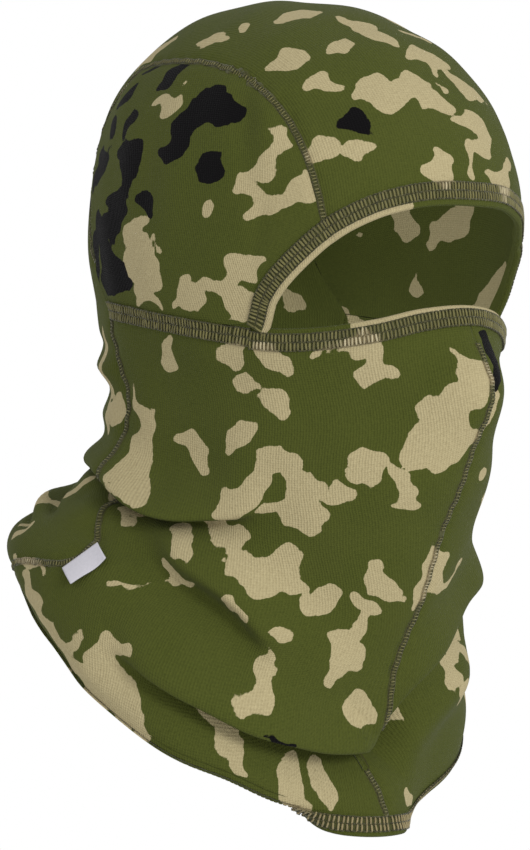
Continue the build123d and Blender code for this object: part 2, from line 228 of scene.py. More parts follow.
def skull(d):
    d = unit(d)
    return upper(np.degrees(np.arctan2(-d[..., 0], -d[..., 1])), np.degrees(np.arcsin(d[..., 2])))


def rolled(pitch, roll):
    p, r = np.radians(pitch), np.radians(roll)
    return np.stack([-np.sin(r), -np.cos(r) * np.sin(p), np.cos(r) * np.cos(p)], -1)


def column_curve(part, row):
    """The radius (part 0) or height (part 1) of every column at a row."""
    return [curve([(i, ROWS[i][c][part]) for i in range(LAST_ROW + 1)], row, level=False)
            for c in range(len(COLUMNS))]


def across_columns(values, side):
    """A smooth curve over the columns, whose values differ from point to point."""
    result = np.zeros_like(side)
    for c in range(len(COLUMNS) - 1):
        x0, x1 = COLUMNS[c], COLUMNS[c + 1]
        step = x1 - x0
        m0 = (values[c + 1] - values[c - 1]) / (2 * step) if c else 0 * side
        m1 = (values[c + 2] - values[c]) / (2 * step) if c + 2 < len(COLUMNS) else 0 * side
        inside = (side >= x0) & (side <= x1)
        result = np.where(inside, hermite(x0, x1, values[c], values[c + 1], m0, m1, side), result)
    return result


def lower(azimuth, row):
    """Face, neck and bib: row 0 is the cheek line and LAST_ROW the hem."""
    azimuth, row = np.broadcast_arrays(np.asarray(azimuth, float), np.asarray(row, float))
    side = fold_side(azimuth)
    radius = across_columns(column_curve(0, row), side)
    z = across_columns(column_curve(1, row), side)
    near_top = np.maximum(0, 1 - row) ** 2
    z = z + near_top * (cheek_z(side) - curve([(c, ROWS[0][i][1]) for i, c in enumerate(COLUMNS)], side))
    drawn = curve([(c, ROWS[0][i][0]) for i, c in enumerate(COLUMNS)], side)
    radius = radius + near_top * (taper(side, cheek_z(side)) - drawn)
    nose = np.exp(-(side / NOSE_HALF_ANGLE) ** 2 - ((z - NOSE_Z) / NOSE_HALF_HEIGHT) ** 2)
    return around(azimuth, radius + NOSE_PROUD * nose, z)


def side_seam(row):
    return curve(SIDE_SEAM, row)


def front_seam(row):
    """The azimuth of the front seam, which is dragged to the wearer's right where the bib bunches up."""
    return curve(FRONT_SEAM, row)


def crown_roll(pitch):
    return curve(CROWN_SEAM, pitch)


def row_past(azimuth, row, distance):
    """The row that lies a short distance down the fabric from another one."""
    step = np.where(np.asarray(row) < 1, ROW_STEP, -ROW_STEP)
    pace = np.linalg.norm(lower(azimuth, row + step) - lower(azimuth, row), axis=-1) / ROW_STEP
    return row + distance / pace


def hem_turn(azimuth):
    """How far the bottom hem is turned in under the bib, in degrees."""
    return curve(HEM_TURN, azimuth % 360)


def hem_top(azimuth):
    return row_past(azimuth, LAST_ROW, -BOTTOM_HEM_WIDTH * curve(HEM_SHOWN, azimuth % 360))


def panel_end(azimuth):
    """The panels run on a little way beneath the bottom hem."""
    return row_past(azimuth, hem_top(azimuth), UNDER_BIB_HEM)


def seam_row_at(edge):
    """The row where the side seam crosses an edge that is given as a row at each azimuth."""
    row = 0.0
    for _ in range(SETTLING_PASSES):
        row = float(edge(side_seam(row)))
    return row


SEAM_END_ROW = seam_row_at(panel_end)


# ---------------------------------------------------------------- panels, s and t from 0 to 1

def brow_pitch(side):
    azimuth = side * BROW_SEAM_AZIMUTH
    d = direction(azimuth, latitude_at(brow_z(azimuth) - UNDER_HEM))
    return np.degrees(np.arctan2(-d[..., 1], d[..., 2]))


def back_point(side, share):
    row = share * SEAM_END_ROW
    azimuth = 180 - side * (180 - side_seam(row))
    near = np.abs(side) ** NEAR_SEAM
    return lower(azimuth, share * panel_end(azimuth) * (1 - near) + row * near)


def centre_surface(s, t):
    """From the brow over the crown and down the nape to the back hem; s runs across it."""
    side = 2 * s - 1
    share = np.minimum(t / CROWN_SHARE, 1)
    end = NAPE_PITCH + (CHEEK_PITCH - NAPE_PITCH) * side * side
    pitch = brow_pitch(side) + (end - brow_pitch(side)) * share
    above = skull(rolled(pitch, side * crown_roll(pitch)))
    joined = np.clip((share - 0.9) / 0.1, 0, 1)[..., None] ** 2
    above = above * (1 - joined) + back_point(side, 0 * side) * joined
    below = back_point(side, np.clip((t - CROWN_SHARE) / (1 - CROWN_SHARE), 0, 1))
    return np.where((t <= CROWN_SHARE)[..., None], above, below)


def side_surface(s, t):
    """The right panel over the ear: s runs back from the eye opening, t up from the cheek line."""
    last = side_seam(0.0)
    bottom_azimuth = EYE_CORNER + (last - EYE_CORNER) * s
    bottom = direction(bottom_azimuth, latitude_at(cheek_z(bottom_azimuth)))
    start = brow_pitch(np.ones_like(s))
    pitch = start + (CHEEK_PITCH - start) * s
    top = rolled(pitch, crown_roll(pitch))
    straight = bottom * (1 - t[..., None]) + top * t[..., None]
    first_azimuth = EYE_CORNER + (BROW_SEAM_AZIMUTH - EYE_CORNER) * t
    front = direction(first_azimuth, latitude_at(brow_z(first_azimuth) - UNDER_HEM * t))
    corner = direction(EYE_CORNER, latitude_at(cheek_z(EYE_CORNER)))
    top_corner = rolled(start, crown_roll(start))
    chord = corner * (1 - t[..., None]) + top_corner * t[..., None]
    return skull(straight + (front - chord) * (1 - s[..., None]) ** 3)


def front_surface(s, t, side=1):
    """The right front panel, from the front seam back to the side seam and from the cheek to the hem.

    side -1 gives the left panel's mirror image."""
    seam_row = SEAM_END_ROW * t
    first = side * front_seam(seam_row)
    azimuth = first + (side_seam(seam_row) - first) * s
    row = panel_end(azimuth) * t
    near = s ** NEAR_SEAM
    return lower(azimuth, row * (1 - near) + seam_row * near)


# ---------------------------------------------------------------- creases, rolls and pleats

def chart_frame(chart, u, v):
    """Point, outward normal and the direction of growing v on a chart."""
    step_v = 0.02 if chart is lower else 0.5
    p = chart(u, v)
    across = chart(u + 0.5, v) - chart(u - 0.5, v)
    along = unit(chart(u, v + step_v) - chart(u, v - step_v))
    normal = unit(np.cross(across, along)) * (1 if chart is lower else -1)
    return p, normal, along


class Crease:
    """A line on the fabric.  kind "roll": the cloth above hangs over the cloth below.
    kind "ridge": a soft ridge, or a valley where out is negative."""

    def __init__(self, kind, chart, points, width, out, down=0.0, ripple=0.0):
        knots = np.linspace(0, len(points) - 1, CREASE_STEPS * len(points))
        columns = [curve([(i, p[k]) for i, p in enumerate(points)], knots, level=False) for k in range(3)]
        self.line, self.normal, along = chart_frame(chart, columns[0], columns[1])
        tangent = unit(np.gradient(self.line, axis=0))
        down_way = np.cross(self.normal, tangent)
        sign = np.sign(dot(down_way, along if chart is lower else -along))
        self.down_way = unit(down_way * np.where(sign == 0, 1, sign)[:, None])
        length = np.concatenate([[0], np.cumsum(np.linalg.norm(np.diff(self.line, axis=0), axis=1))])
        rippled = 1 + ripple * np.sin(length * 2 * math.pi / RIPPLE_LENGTH)
        self.strength = np.maximum(0, columns[2]) * rippled
        self.kind, self.width, self.out, self.down = kind, width, out, down

    def push(self, points):
        """How far each point moves."""
        moved = np.zeros_like(points)
        reach = CREASE_REACH * self.width
        low, high = self.line.min(0) - reach, self.line.max(0) + reach
        chosen = np.flatnonzero(((points > low) & (points < high)).all(1))
        for part in np.array_split(chosen, max(1, len(chosen) // CREASE_BATCH)):
            if not len(part):
                continue
            gaps = points[part][:, None] - self.line[None]
            distances = np.einsum("ijk,ijk->ij", gaps, gaps)
            k = distances.argmin(1)
            away = np.sqrt(distances[np.arange(len(part)), k])
            gap = gaps[np.arange(len(part)), k]
            strength = self.strength[k][:, None]
            if self.kind == "ridge":
                swell = self.out * np.exp(-(away / self.width) ** 2)
                moved[part] = self.normal[k] * swell[:, None] * strength
            else:
                u = np.sign(dot(gap, self.down_way[k])) * away / self.width
                g = (u * np.exp((1 - u * u) / 2))[:, None]
                moved[part] = -(self.normal[k] * self.out + self.down_way[k] * self.down) * g * strength
        return moved


def ring(points):
    """A crease drawn on the wearer's right side and the nape, carried on round the left side."""
    return points + [(360 - a, row, size * 0.9) for a, row, size in reversed(points[:-1])]


def left(points):
    return [(-a, v, size) for a, v, size in points]


def ridge(points, width, out, chart=lower):
    return Crease("ridge", chart, points, width, out)


# azimuth, row or latitude, strength
JAW_ROLL = [(46, 2.5, 0), (55, 2.8, .15), (66, 3.1, .4), (80, 3.35, .7), (92, 3.5, .95), (104, 3.58, 1),
            (113, 3.42, 1), (123, 3.2, .95), (134, 3.18, .75), (150, 3.18, .75), (165, 3.15, .7),
            (180, 3.15, .7)]
NECK_ROLL = [(106, 3.98, 0), (96, 4.22, .6), (86, 4.45, .9), (77, 4.6, 1), (68, 4.78, .9), (61, 5.05, .7),
             (55, 5.4, 0)]
POUCH_RIGHT = [(100, 6.15, 0), (92, 6.3, .5), (83, 6.4, .75), (74, 6.45, .85), (62, 6.5, .9), (48, 6.45, .95),
               (34, 6.35, .95), (20, 6.15, 1), (9, 5.95, .9), (2, 5.6, .75), (-4, 5.25, .65),
               (-12, 4.95, .65), (-22, 4.72, .7), (-34, 4.48, .75), (-48, 4.15, .8), (-62, 4.05, .6),
               (-80, 3.95, .3), (-95, 3.9, 0)]

CREASES = [
    Crease("roll", lower, ring(JAW_ROLL), 7.0, 7.0, 9.0),
    Crease("roll", lower, NECK_ROLL, 8.5, 5.8, 5.2),
    Crease("roll", lower, POUCH_RIGHT, 8.0, 8.5, 10.0),
    # the bib's edge curls in under itself
    ridge([(22, 8, 0), (42, 8, .8), (70, 8, 1), (110, 8, 1), (145, 8, .8), (170, 8, 0)], 6, -2.5),
    # a valley above the pouch's edge, a ridge below it and the bib's swell on the left
    ridge([(104, 5.75, 0), (92, 6.0, .8), (80, 6.12, 1), (68, 6.2, .8), (56, 6.2, 0)], 4, -1.4),
    ridge([(100, 6.75, 0), (88, 6.85, 1), (74, 6.95, 1), (60, 7.0, .8), (48, 7.0, 0)], 7, 2.0),
    ridge([(-12, 6.5, 0), (-24, 6.2, .8), (-38, 5.9, 1), (-55, 5.7, 1), (-75, 5.6, 0)], 12, 8.5),
    # folds beside the label, and the valley under the jaw's roll
    ridge([(128, 3.75, 0), (118, 3.85, 1), (108, 3.95, 1), (96, 4.0, .8), (84, 4.05, 0)], 5, 2.6),
    ridge([(122, 4.2, 0), (113, 4.35, 1), (103, 4.45, .8), (93, 4.55, 0)], 4.5, -2.2),
    ridge([(126, 3.5, 0), (115, 3.7, 1), (104, 3.82, 1), (92, 3.78, .8), (78, 3.62, .5),
           (64, 3.4, 0)], 4, -3.4),
    # the bunched cloth on the shoulders
    ridge([(160, 3.4, 0), (147, 3.5, 1), (135, 3.55, 1), (124, 3.55, 0)], 4.0, 4.2),
    ridge([(158, 3.7, 0), (147, 3.85, 1), (137, 4.1, 1), (127, 4.4, 0)], 3.4, -4.6),
    ridge([(160, 4.0, 0), (150, 4.15, 1), (140, 4.4, 1), (132, 4.7, 0)], 3.6, 2.6),
    ridge([(160, 4.35, 0), (148, 4.5, 1), (138, 4.8, 1), (130, 5.1, 0)], 3.4, -4.2),
    ridge([(162, 4.95, 0), (150, 5.1, 1), (141, 5.45, .8), (136, 5.8, 0)], 3.6, -3.0),
    ridge([(176, 3.9, 0), (172, 4.5, 1), (170, 5.2, .8), (172, 6.0, 0)], 4.5, -3.0),
    ridge([(-158, 3.6, 0), (-146, 3.9, 1), (-138, 4.3, .8), (-130, 4.9, 0)], 4.0, -3.4),
    ridge([(-166, 4.2, 0), (-156, 4.7, 1), (-150, 5.3, .8), (-146, 6.0, 0)], 4.2, -2.8),
    # the left side of the bib
    Crease("roll", lower, left([(112, 4.1, 0), (100, 4.5, .7), (88, 4.9, 1), (76, 5.3, .9),
                                (64, 5.6, 0)]), 9, 3, 2),
    ridge(left([(115, 5.6, 0), (100, 6.0, 1), (85, 6.3, 1), (70, 6.5, 0)]), 5, -2.2),
    # the nape above the roll
    ridge(ring([(120, .85, 0), (134, .85, 1), (150, .85, 1), (180, .85, 1)]), 3.2, -1.0),
    ridge(ring([(118, 1.2, 0), (132, 1.25, .9), (145, 1.25, 1), (162, 1.22, .8),
                (180, 1.25, 1)]), 4.2, 3.2),
    ridge(ring([(120, 1.6, 0), (134, 1.62, .8), (146, 1.62, 1), (180, 1.65, .8)]), 4, -1.2),
    ridge(ring([(122, 2.0, 0), (134, 2.02, 1), (150, 2.0, 1), (180, 2.0, 1)]), 4.5, 2.0),
    ridge(ring([(122, 2.45, 0), (134, 2.5, 1), (146, 2.5, 1), (180, 2.5, 1)]), 4, -1.6),
    # soft pleats below the crown seam
    ridge([(64, 38, 0), (61, 28, 1), (60, 16, .8), (58, 4, 0)], 5, -1.5, upper),
    ridge([(57, 36, 0), (54, 27, 1), (53, 14, .6), (54, 6, 0)], 5, 1.1, upper),
    ridge([(56, 8, 0), (55, 0, 1), (57, -8, .8), (60, -16, 0)], 4.5, -1.0, upper),
    ridge([(49, 34, 0), (47, 26, 1), (45, 16, .5), (44, 8, 0)], 4, -1.0, upper),
    ridge(left([(62, 36, 0), (60, 24, 1), (58, 12, .8), (57, 0, 0)]), 5, -1.4, upper),
    ridge(left([(52, 34, 0), (50, 22, 1), (49, 8, 0)]), 4.5, -1.0, upper),
]

# azimuth, row, half angle, half rows, out, down: broad pushes that make the two sides differ
SWELLS = [
    (168, 4.4, 30, .8, -4.5, 0),
    (-47, 3.65, 22, .45, 6, 0),
    (-46, 4.75, 14, .25, -4, 0),
    (-8, 5.9, 10, .35, -8, 0),
    (75, 8.2, 38, 1.3, 1.5, -1.0),
    (-18, 8.2, 22, .9, -5, 0),
    (30, 5.3, 24, .6, 2.5, 1),
    (12, 7.0, 22, .5, -2, 0),
]


def swell_pushes(points):
    moved = np.zeros_like(points)
    for azimuth, row, half_angle, half_rows, out, down in SWELLS:
        centre, normal, along = chart_frame(lower, np.array(azimuth, float), np.array(row, float))
        sideways = np.cross(along, normal)
        wide = half_angle * math.radians(1) * np.linalg.norm(centre[:2])
        tall = half_rows * np.linalg.norm(lower(azimuth, row + .3) - lower(azimuth, row - .3)) / .6
        gap = points - centre
        near = np.exp(-(dot(gap, sideways) / wide) ** 2 - (dot(gap, along) / tall) ** 2
                      - (dot(gap, normal) / wide) ** 2)
        moved += (normal * out + along * down) * near[:, None]
    return moved


def waves(points, count, shortest, longest, seed):
    """Smooth noise from -1 to 1, as a sum of waves in fixed random directions."""
    random = np.random.default_rng(seed)
    total = np.zeros(len(points))
    for _ in range(count):
        way = unit(random.normal(size=3))
        length = random.uniform(shortest, longest)
        total += np.sin(points @ way * 2 * math.pi / length + random.uniform(0, 2 * math.pi))
    return total / math.sqrt(count)


def drape(points):
    """The worn, crumpled place of points on the charts."""
    shape = points.shape
    flat = points.reshape(-1, 3)
    moved = flat + swell_pushes(flat)
    for crease in CREASES + SEAM_DIPS:
        moved += crease.push(flat)
    outward = unit(flat * [1, .8, .5])
    moved += outward * (CRUMPLE * waves(flat, 8, 22, 45, seed=3))[:, None]
    return moved.reshape(shape)


def dip(chart, places, depth=0.9):
    """The shallow groove that a seam draws the cloth into."""
    return Crease("ridge", chart, [(a, v, 1) for a, v in places], DIP_WIDTH, -depth, ripple=DIP_RIPPLE)


def crown_places():
    """The crown seam on the upper chart."""
    t = np.linspace(0, CROWN_SEAM_END, 16) * CROWN_SHARE
    line = centre_surface(np.ones_like(t), t)
    height = latitude_at(line[:, 2])
    rise = np.maximum(0, line[:, 2] - WIDEST_Z) / DOME_HEIGHT
    setback = VERTEX_SETBACK * rise ** 2
    azimuth = np.degrees(np.arctan2(-line[:, 0], -(line[:, 1] - setback)))
    return list(zip(azimuth, height))


def both_sides(chart, places, depth=0.9):
    """The same dip on the wearer's right and left."""
    return [dip(chart, places, depth), dip(chart, [(-a, v) for a, v in places], depth)]


side_places = [(float(side_seam(r)), float(r)) for r in np.linspace(0.2, SEAM_END_ROW, 12)]
cheek_places = [(float(a), 0.0) for a in np.linspace(EYE_CORNER, 123, 8)]
front_places = [(float(front_seam(r)), r) for r in np.linspace(.6, 7.6, 14)]
SEAM_DIPS = (both_sides(upper, crown_places()) + both_sides(lower, side_places) + [dip(lower, front_places)]
             + both_sides(lower, cheek_places, 0.5))


# ---------------------------------------------------------------- the print

# Blotches: each is a chain of (azimuth, latitude or row, radius in mm).  Those on the wearer's right and on
# the front were placed over the photo; scattered() makes most of the rest.
SIDE_TAN = [
    [(102, 30, 2.5), (96, 31.5, 4), (90, 29, 6), (86, 31, 4.5)],
    [(88, 32, 3), (84, 38, 2.5)],
    [(48, 24, 2.5), (49, 19, 4.5), (52, 14, 5), (55, 10, 5.5), (60, 9, 3)],
    [(64, 6, 2), (60, 8, 4), (56, 5, 5), (58, 1, 4), (53, 2, 4.5), (48, 4, 4), (44, 6, 6), (41, 7, 5),
     (43, 10, 3.5)],
    [(71, 1.5, 5)],
    [(96, 0, 4), (103, -5, 6), (96, -8, 8), (104, -11, 7), (95, -14, 8), (101, -18, 6), (93, -21, 4)],
    [(90, -5, 4), (89, -9, 3.5)],
    [(86, -22, 3), (80, -18, 6), (77, -21, 5), (73, -17, 4), (66, -18, 6), (62, -13, 6), (58, -14, 6),
     (54, -11, 4)],
    [(80, -22, 5), (75, -22, 3)],
    [(66, -20, 4), (62, -21, 7), (60, -24, 5), (67, -26, 3)],
]
SIDE_BLACK = [
    [(99, 36, 4), (95, 39, 6), (91, 43, 5)],
    [(119, 41, 2.5), (111, 44, 3.5)],
    [(116, 38, 3.5), (120, 34, 4.5), (124, 31, 3)],
    [(70, 34, 5), (74, 31, 6), (67, 27, 7), (63, 27, 5)],
    [(79, 31, 3), (78, 27, 6), (82, 22, 6), (86, 17, 5.5), (81, 17, 4)],
    [(73, 28, 6), (78, 27, 5)],
    [(72, 12.5, 6.5), (69, 11.5, 7)],
    [(109, 27, 5), (110, 23, 5)],
    [(123, 26, 4), (120, 24, 3.5)],
    [(109, 18, 6), (102, 18, 5), (104, 13, 7), (105, 8, 5)],
    [(97, 6, 5), (94, 2.5, 5)],
    [(113, 6, 5), (108, 3, 6.5), (111, -2, 6), (117, -1, 5)],
    [(123, 0, 6), (119, -8, 8), (113, -13, 8), (108, -15, 5), (122, -15, 7)],
    [(128, 18, 5), (122, 15, 5), (131, 11, 5)],
    [(119, 20, 2.8)],
    [(128, -5, 6), (130, -14, 6)],
]
CENTRE_TAN = [
    [(90, 51, 3), (82, 53, 5), (77, 52, 4)],
    [(69, 57.5, 5.5)],
    [(117, 55, 3.5), (125, 51, 5), (135, 47, 5)],
    [(55, 41, 2.5), (48, 43, 7), (44, 43, 7.5)],
    [(49, 61, 3.5), (42, 66, 6), (34, 66, 7), (28, 66, 4)],
    [(41, 35, 5), (36, 36, 5), (32, 33, 4)],
    [(40, 16, 7), (36, 17, 7)],
    [(33, 16, 3), (30, 16, 6), (27, 17.5, 4)],
    [(31, 46.5, 3), (28, 48, 6), (24, 50, 4.5)],
    [(23, 62.5, 2.5), (18, 61.5, 5), (12, 57, 7), (9, 52, 7), (8, 48.5, 4)],
    [(27, 31, 3.5), (22, 34.5, 8), (20, 30, 7), (14, 33, 6.5), (9, 36, 7), (7, 31, 7), (2, 29, 5),
     (12, 37, 3.5)],
    [(5, 44, 3.5), (-2, 46, 7.5), (-7, 44, 7), (-2, 40, 4)],
    [(3, 37, 3.5), (0, 34.5, 4.5)],
    [(-9, 41, 3.5), (-11, 35, 6), (-17, 33, 5.5), (-23, 31, 4)],
    [(-8, 58, 4), (-18, 54, 5)],
    [(1, 25, 3.5), (-5, 25.5, 6), (-10, 22, 6.5), (-8, 18, 6), (-2, 17, 4), (0, 11, 4)],
    [(13, 11.5, 5), (8, 11, 7), (10, 15.5, 4)],
    [(-6, 10.5, 2.5), (-12, 9, 6), (-17, 11, 4.5), (-20, 14, 3.5)],
    [(24, 5.5, 3)],
]
CENTRE_BLACK = [[(33, 23.5, 3.5), (29, 24, 5), (27, 22, 4.5)]]
RIGHT_TAN = [
    [(92, .35, 5), (95, .8, 5.5), (97, 1.0, 2.5)],
    [(73, .45, 3), (69, .45, 5.5), (64, .3, 5), (66, .6, 4)],
    [(57, .2, 4), (53, .4, 6.5), (48, .6, 4)],
    [(64, .95, 6.5), (61, 1.0, 5)],
    [(57, 1.1, 4), (52, 1.15, 6.5), (49, 1.35, 4)],
    [(60, 1.55, 5), (65, 1.65, 7.5), (70, 1.85, 4.5)],
    [(99, 2.0, 4), (94, 1.95, 5.5), (89, 1.9, 6), (86, 2.1, 5.5), (83, 2.3, 4.5), (79, 2.4, 2.5)],
    [(115, 1.35, 2.5), (113, 1.6, 4.5), (109, 1.9, 6.5), (112, 2.25, 7.5), (111, 2.65, 7.5),
     (108, 3.0, 7), (104, 3.2, 4)],
    [(106, 1.6, 2.5), (107, 2.2, 4)],
    [(116, 2.9, 3), (113, 3.15, 4)],
    [(56, 1.95, 6.5), (50, 1.92, 6), (45, 1.95, 4)],
    [(58, 2.1, 5), (60, 2.4, 6), (64, 2.6, 6), (70, 2.75, 7.5), (69, 3.0, 5)],
    [(48, 2.1, 5), (42, 2.2, 6), (38, 2.27, 4), (44, 2.5, 7), (42, 2.85, 8), (48, 2.85, 6), (38, 2.95, 4)],
    [(44, 2.6, 6), (52, 2.78, 4), (58, 2.78, 4)],
    [(37, 2.45, 3.5), (33, 2.4, 6.5), (29, 2.45, 4.5)],
    [(82, 3.5, 4.5), (78, 3.62, 5), (74, 3.75, 4.5), (69, 3.65, 4.5), (64, 3.6, 3)],
    [(70, 3.8, 4), (66, 3.9, 5), (62, 4.0, 6), (56, 4.05, 8.5), (51, 3.9, 7), (49, 3.62, 6), (49, 3.5, 4)],
    [(57, 4.25, 3.5), (52, 4.1, 5), (46, 4.1, 5.5), (42, 4.1, 3.5)],
    [(78, 3.95, 2), (72, 3.95, 2.5)],
    [(91, 3.88, 4.5), (87, 4.0, 5.5), (83, 4.1, 3.5)],
    [(88, 4.0, 4), (88, 4.18, 3.5)],
    [(122, 3.55, 3.5), (117, 3.6, 5), (112, 3.7, 5), (107, 3.75, 5.5), (102, 3.78, 4)],
    [(114, 3.9, 4), (108, 4.05, 3), (103, 4.25, 1.8)],
    [(91, 4.5, 5), (88, 4.7, 4.5), (84, 4.72, 3.5), (82, 4.65, 2.5)],
    [(91, 4.8, 3), (96, 4.95, 2.5), (101, 5.1, 2.5), (106, 5.0, 1.5)],
    [(41, .28, 3.5), (36, .25, 3), (31, .22, 4.5), (26, .2, 5), (24, .45, 5), (26, .7, 5.5), (21, .7, 5.5)],
    [(6, .4, 3.5), (5, .7, 6), (0, .75, 5), (8, .95, 4.5), (3, 1.0, 6), (12, 1.2, 6), (7, 1.35, 8),
     (13, 1.5, 7), (7, 1.6, 9),
     (2, 1.55, 5), (15, 1.72, 6), (9, 1.85, 7)],
    [(20, 1.85, 3), (16, 2.05, 5), (14, 2.35, 5), (12, 2.5, 4), (18, 2.5, 2.5)],
    [(27, 1.82, 6.5), (23, 1.85, 5.5), (24, 2.05, 6), (28, 2.05, 5), (31, 2.02, 2.5)],
    [(41, 4.32, 5.5), (37, 4.25, 5), (34, 4.05, 6), (32, 3.97, 4)],
    [(20, 3.4, 4), (19, 3.6, 5.5), (14, 3.75, 4.5), (8, 3.82, 3.5)],
    [(24, 3.97, 4), (21, 4.0, 5), (18, 4.05, 5), (16, 4.05, 2.5)],
    [(20, 4.1, 4.5), (21, 4.4, 4), (22, 4.6, 5)],
    [(29, 4.65, 7), (25, 4.75, 8.5), (28, 4.95, 6), (31, 5.2, 3.5), (32, 5.3, 3)],
    [(20, 5.35, 6.5), (19, 5.5, 6)],
    [(53, 4.75, 4), (50, 4.8, 5.5)],
    [(67, 4.6, 5.5), (63, 4.77, 3.5)],
    [(55, 5.1, 2), (56, 5.3, 4), (58, 5.5, 5), (53, 5.42, 2.5)],
    [(58, 5.6, 5), (58, 5.78, 5), (63, 5.88, 4.5), (67, 5.9, 3)],
    [(99, 6.15, 6), (94, 6.05, 5.5), (91, 6.05, 2.5)],
    [(99, 6.3, 7), (101, 6.6, 7), (100, 6.9, 7), (97, 7.2, 9), (94, 7.5, 7), (90, 7.75, 5)],
    [(104, 7.3, 7), (108, 7.0, 3), (106, 6.6, 3), (106, 6.35, 2.5)],
    [(118, 5.75, 3), (124, 5.8, 5), (129, 5.9, 5)],
    [(125, 6.4, 5), (121, 6.8, 6), (115, 7.15, 5), (110, 7.5, 6), (104, 7.6, 6), (98, 7.75, 5)],
    [(78, 6.8, 4.5), (73, 6.82, 4.5), (68, 6.65, 2.5)],
    [(72, 6.9, 4), (70, 7.12, 5.5), (67, 7.4, 4.5), (64, 7.55, 3.5)],
    [(59, 6.76, 2.5), (55, 6.76, 3.5), (52, 6.8, 2.5)],
    [(72, 6.1, 1.2), (66, 6.16, 1.4)],
    [(49, 7.25, 6), (47, 7.45, 6.5), (43, 7.6, 4)],
    [(35, 7.0, 4), (30, 6.98, 3.5), (31, 7.2, 6), (28, 7.45, 4)],
    [(0, 5.4, 6), (2, 5.75, 6.5), (7, 6.0, 5.5)],
    [(0, 3.1, 4), (1, 3.4, 5), (2, 3.7, 5), (3, 3.95, 3)],
]
RIGHT_BLACK = [
    [(57, 6.12, 1.8), (52, 6.17, 2.6), (48, 6.12, 1.6)],
    [(34, 6.32, 4.5), (30, 6.37, 4.5)],
]
LEFT_TAN = [
    [(1, 6.15, 5), (-5, 5.95, 7), (-11, 5.7, 7.5), (-16, 5.5, 6)],
    [(-5, 5.35, 6), (-9, 5.15, 4.5), (-14, 5.3, 4)],
    [(-18, 5.75, 4), (-15, 5.7, 3)],
    [(-38, 4.65, 5), (-48, 4.95, 6), (-58, 5.35, 5), (-70, 6.1, 4)],
    [(0, 3.1, 4), (-3, 3.3, 5), (-2, 3.6, 5.5), (-7, 3.7, 4), (-13, 3.65, 4), (-18, 3.4, 3)],
    [(-8, 1.95, 6)],
    [(-18, 2.4, 4.5), (-25, 2.9, 4)],
    [(0, .8, 4), (0, 1.05, 5), (0, 1.5, 4)],
    [(-30, 1.6, 7), (-36, 1.9, 8), (-33, 2.3, 6)],
    [(-45, .8, 6), (-52, 1.0, 8), (-58, .8, 5)],
    [(-22, 7.2, 6), (-28, 7.4, 5)],
]
LEFT_BLACK = [[(-4, .25, 5), (-4, .55, 5), (-1, .95, 2.5)]]
LEFT_SIDE_TAN = [
    [(-94, -4, 5), (-91, 0, 5), (-86, 0, 7.5), (-80, 1, 7), (-78, 5, 6), (-81, 7, 5)],
    [(-68, -23, 7), (-62, -20, 8), (-58, -15, 5.5), (-54, -12, 5)],
    [(-124, -24, 6), (-128, -22, 5)],
    [(-50, -17, 4), (-50, -10, 3.5)],
    [(-50, 12, 6), (-46, 18, 7), (-52, 22, 5)],
]

PRINT_FAR = -9.0          # the height of cloth that no blotch comes near
PRINT_REACH = 9.0
SPOT_JOIN = 1.3           # how softly neighbouring spots run together
WANDER = 1.35             # how far a blotch's edge strays
TAN_TRIM, BLACK_TRIM = 1.9, 1.0
SPOTS = np.random.default_rng(11)


def scattered(chart, azimuths, levels, count, small=3.0, large=7.0):
    """Chains of blotches at random, for the sides that were not drawn by hand."""
    chains = []
    for _ in range(count):
        a = SPOTS.uniform(*azimuths)
        v = SPOTS.uniform(*levels)
        turn = SPOTS.uniform(0, 2 * math.pi)
        chain = []
        for _ in range(SPOTS.integers(1, 6)):
            chain.append((a, v, SPOTS.uniform(small, large)))
            turn += SPOTS.normal(0, .8)
            pace = SPOTS.uniform(4, 7)
            a += pace * math.cos(turn) * (0.7 if chart is lower else 1)
            v += pace * math.sin(turn) * (0.045 if chart is lower else .9)
        chains.append(chain)
    return chains


def in_space(chart, chains):
    result = []
    for chain in chains:
        a, v, r = (np.array(x, float) for x in zip(*chain))
        result.append((chart(a, v), r))
    return result



def print_height(points, chains, trim):
    """How far inside the nearest blotch each point lies, in millimetres; negative outside."""
    wobble = np.stack([waves(points, 9, 8, 20, seed=20 + k) for k in range(3)], -1)
    points = points + WANDER * wobble
    best = np.full(len(points), PRINT_FAR)
    for spots, radii in chains:
        reach = radii.max() + PRINT_REACH
        chosen = np.flatnonzero(((points > spots.min(0) - reach) & (points < spots.max(0) + reach)).all(1))
        if not len(chosen):
            continue
        p = points[chosen]
        total = np.zeros(len(p))
        pairs = [(k, min(k + 1, len(radii) - 1)) for k in range(max(1, len(radii) - 1))]
        for k, j in pairs:
            run = spots[j] - spots[k]
            h = np.clip(((p - spots[k]) @ run) / max(run @ run, 1e-6), 0, 1)
            away = np.linalg.norm(p - spots[k] - h[:, None] * run, axis=1)
            total += np.exp(np.clip((radii[k] * (1 - h) + radii[j] * h - away) / SPOT_JOIN, -30, 30))
        best[chosen] = np.maximum(best[chosen], SPOT_JOIN * np.log(np.maximum(total, 1e-9)) - trim)
    return best


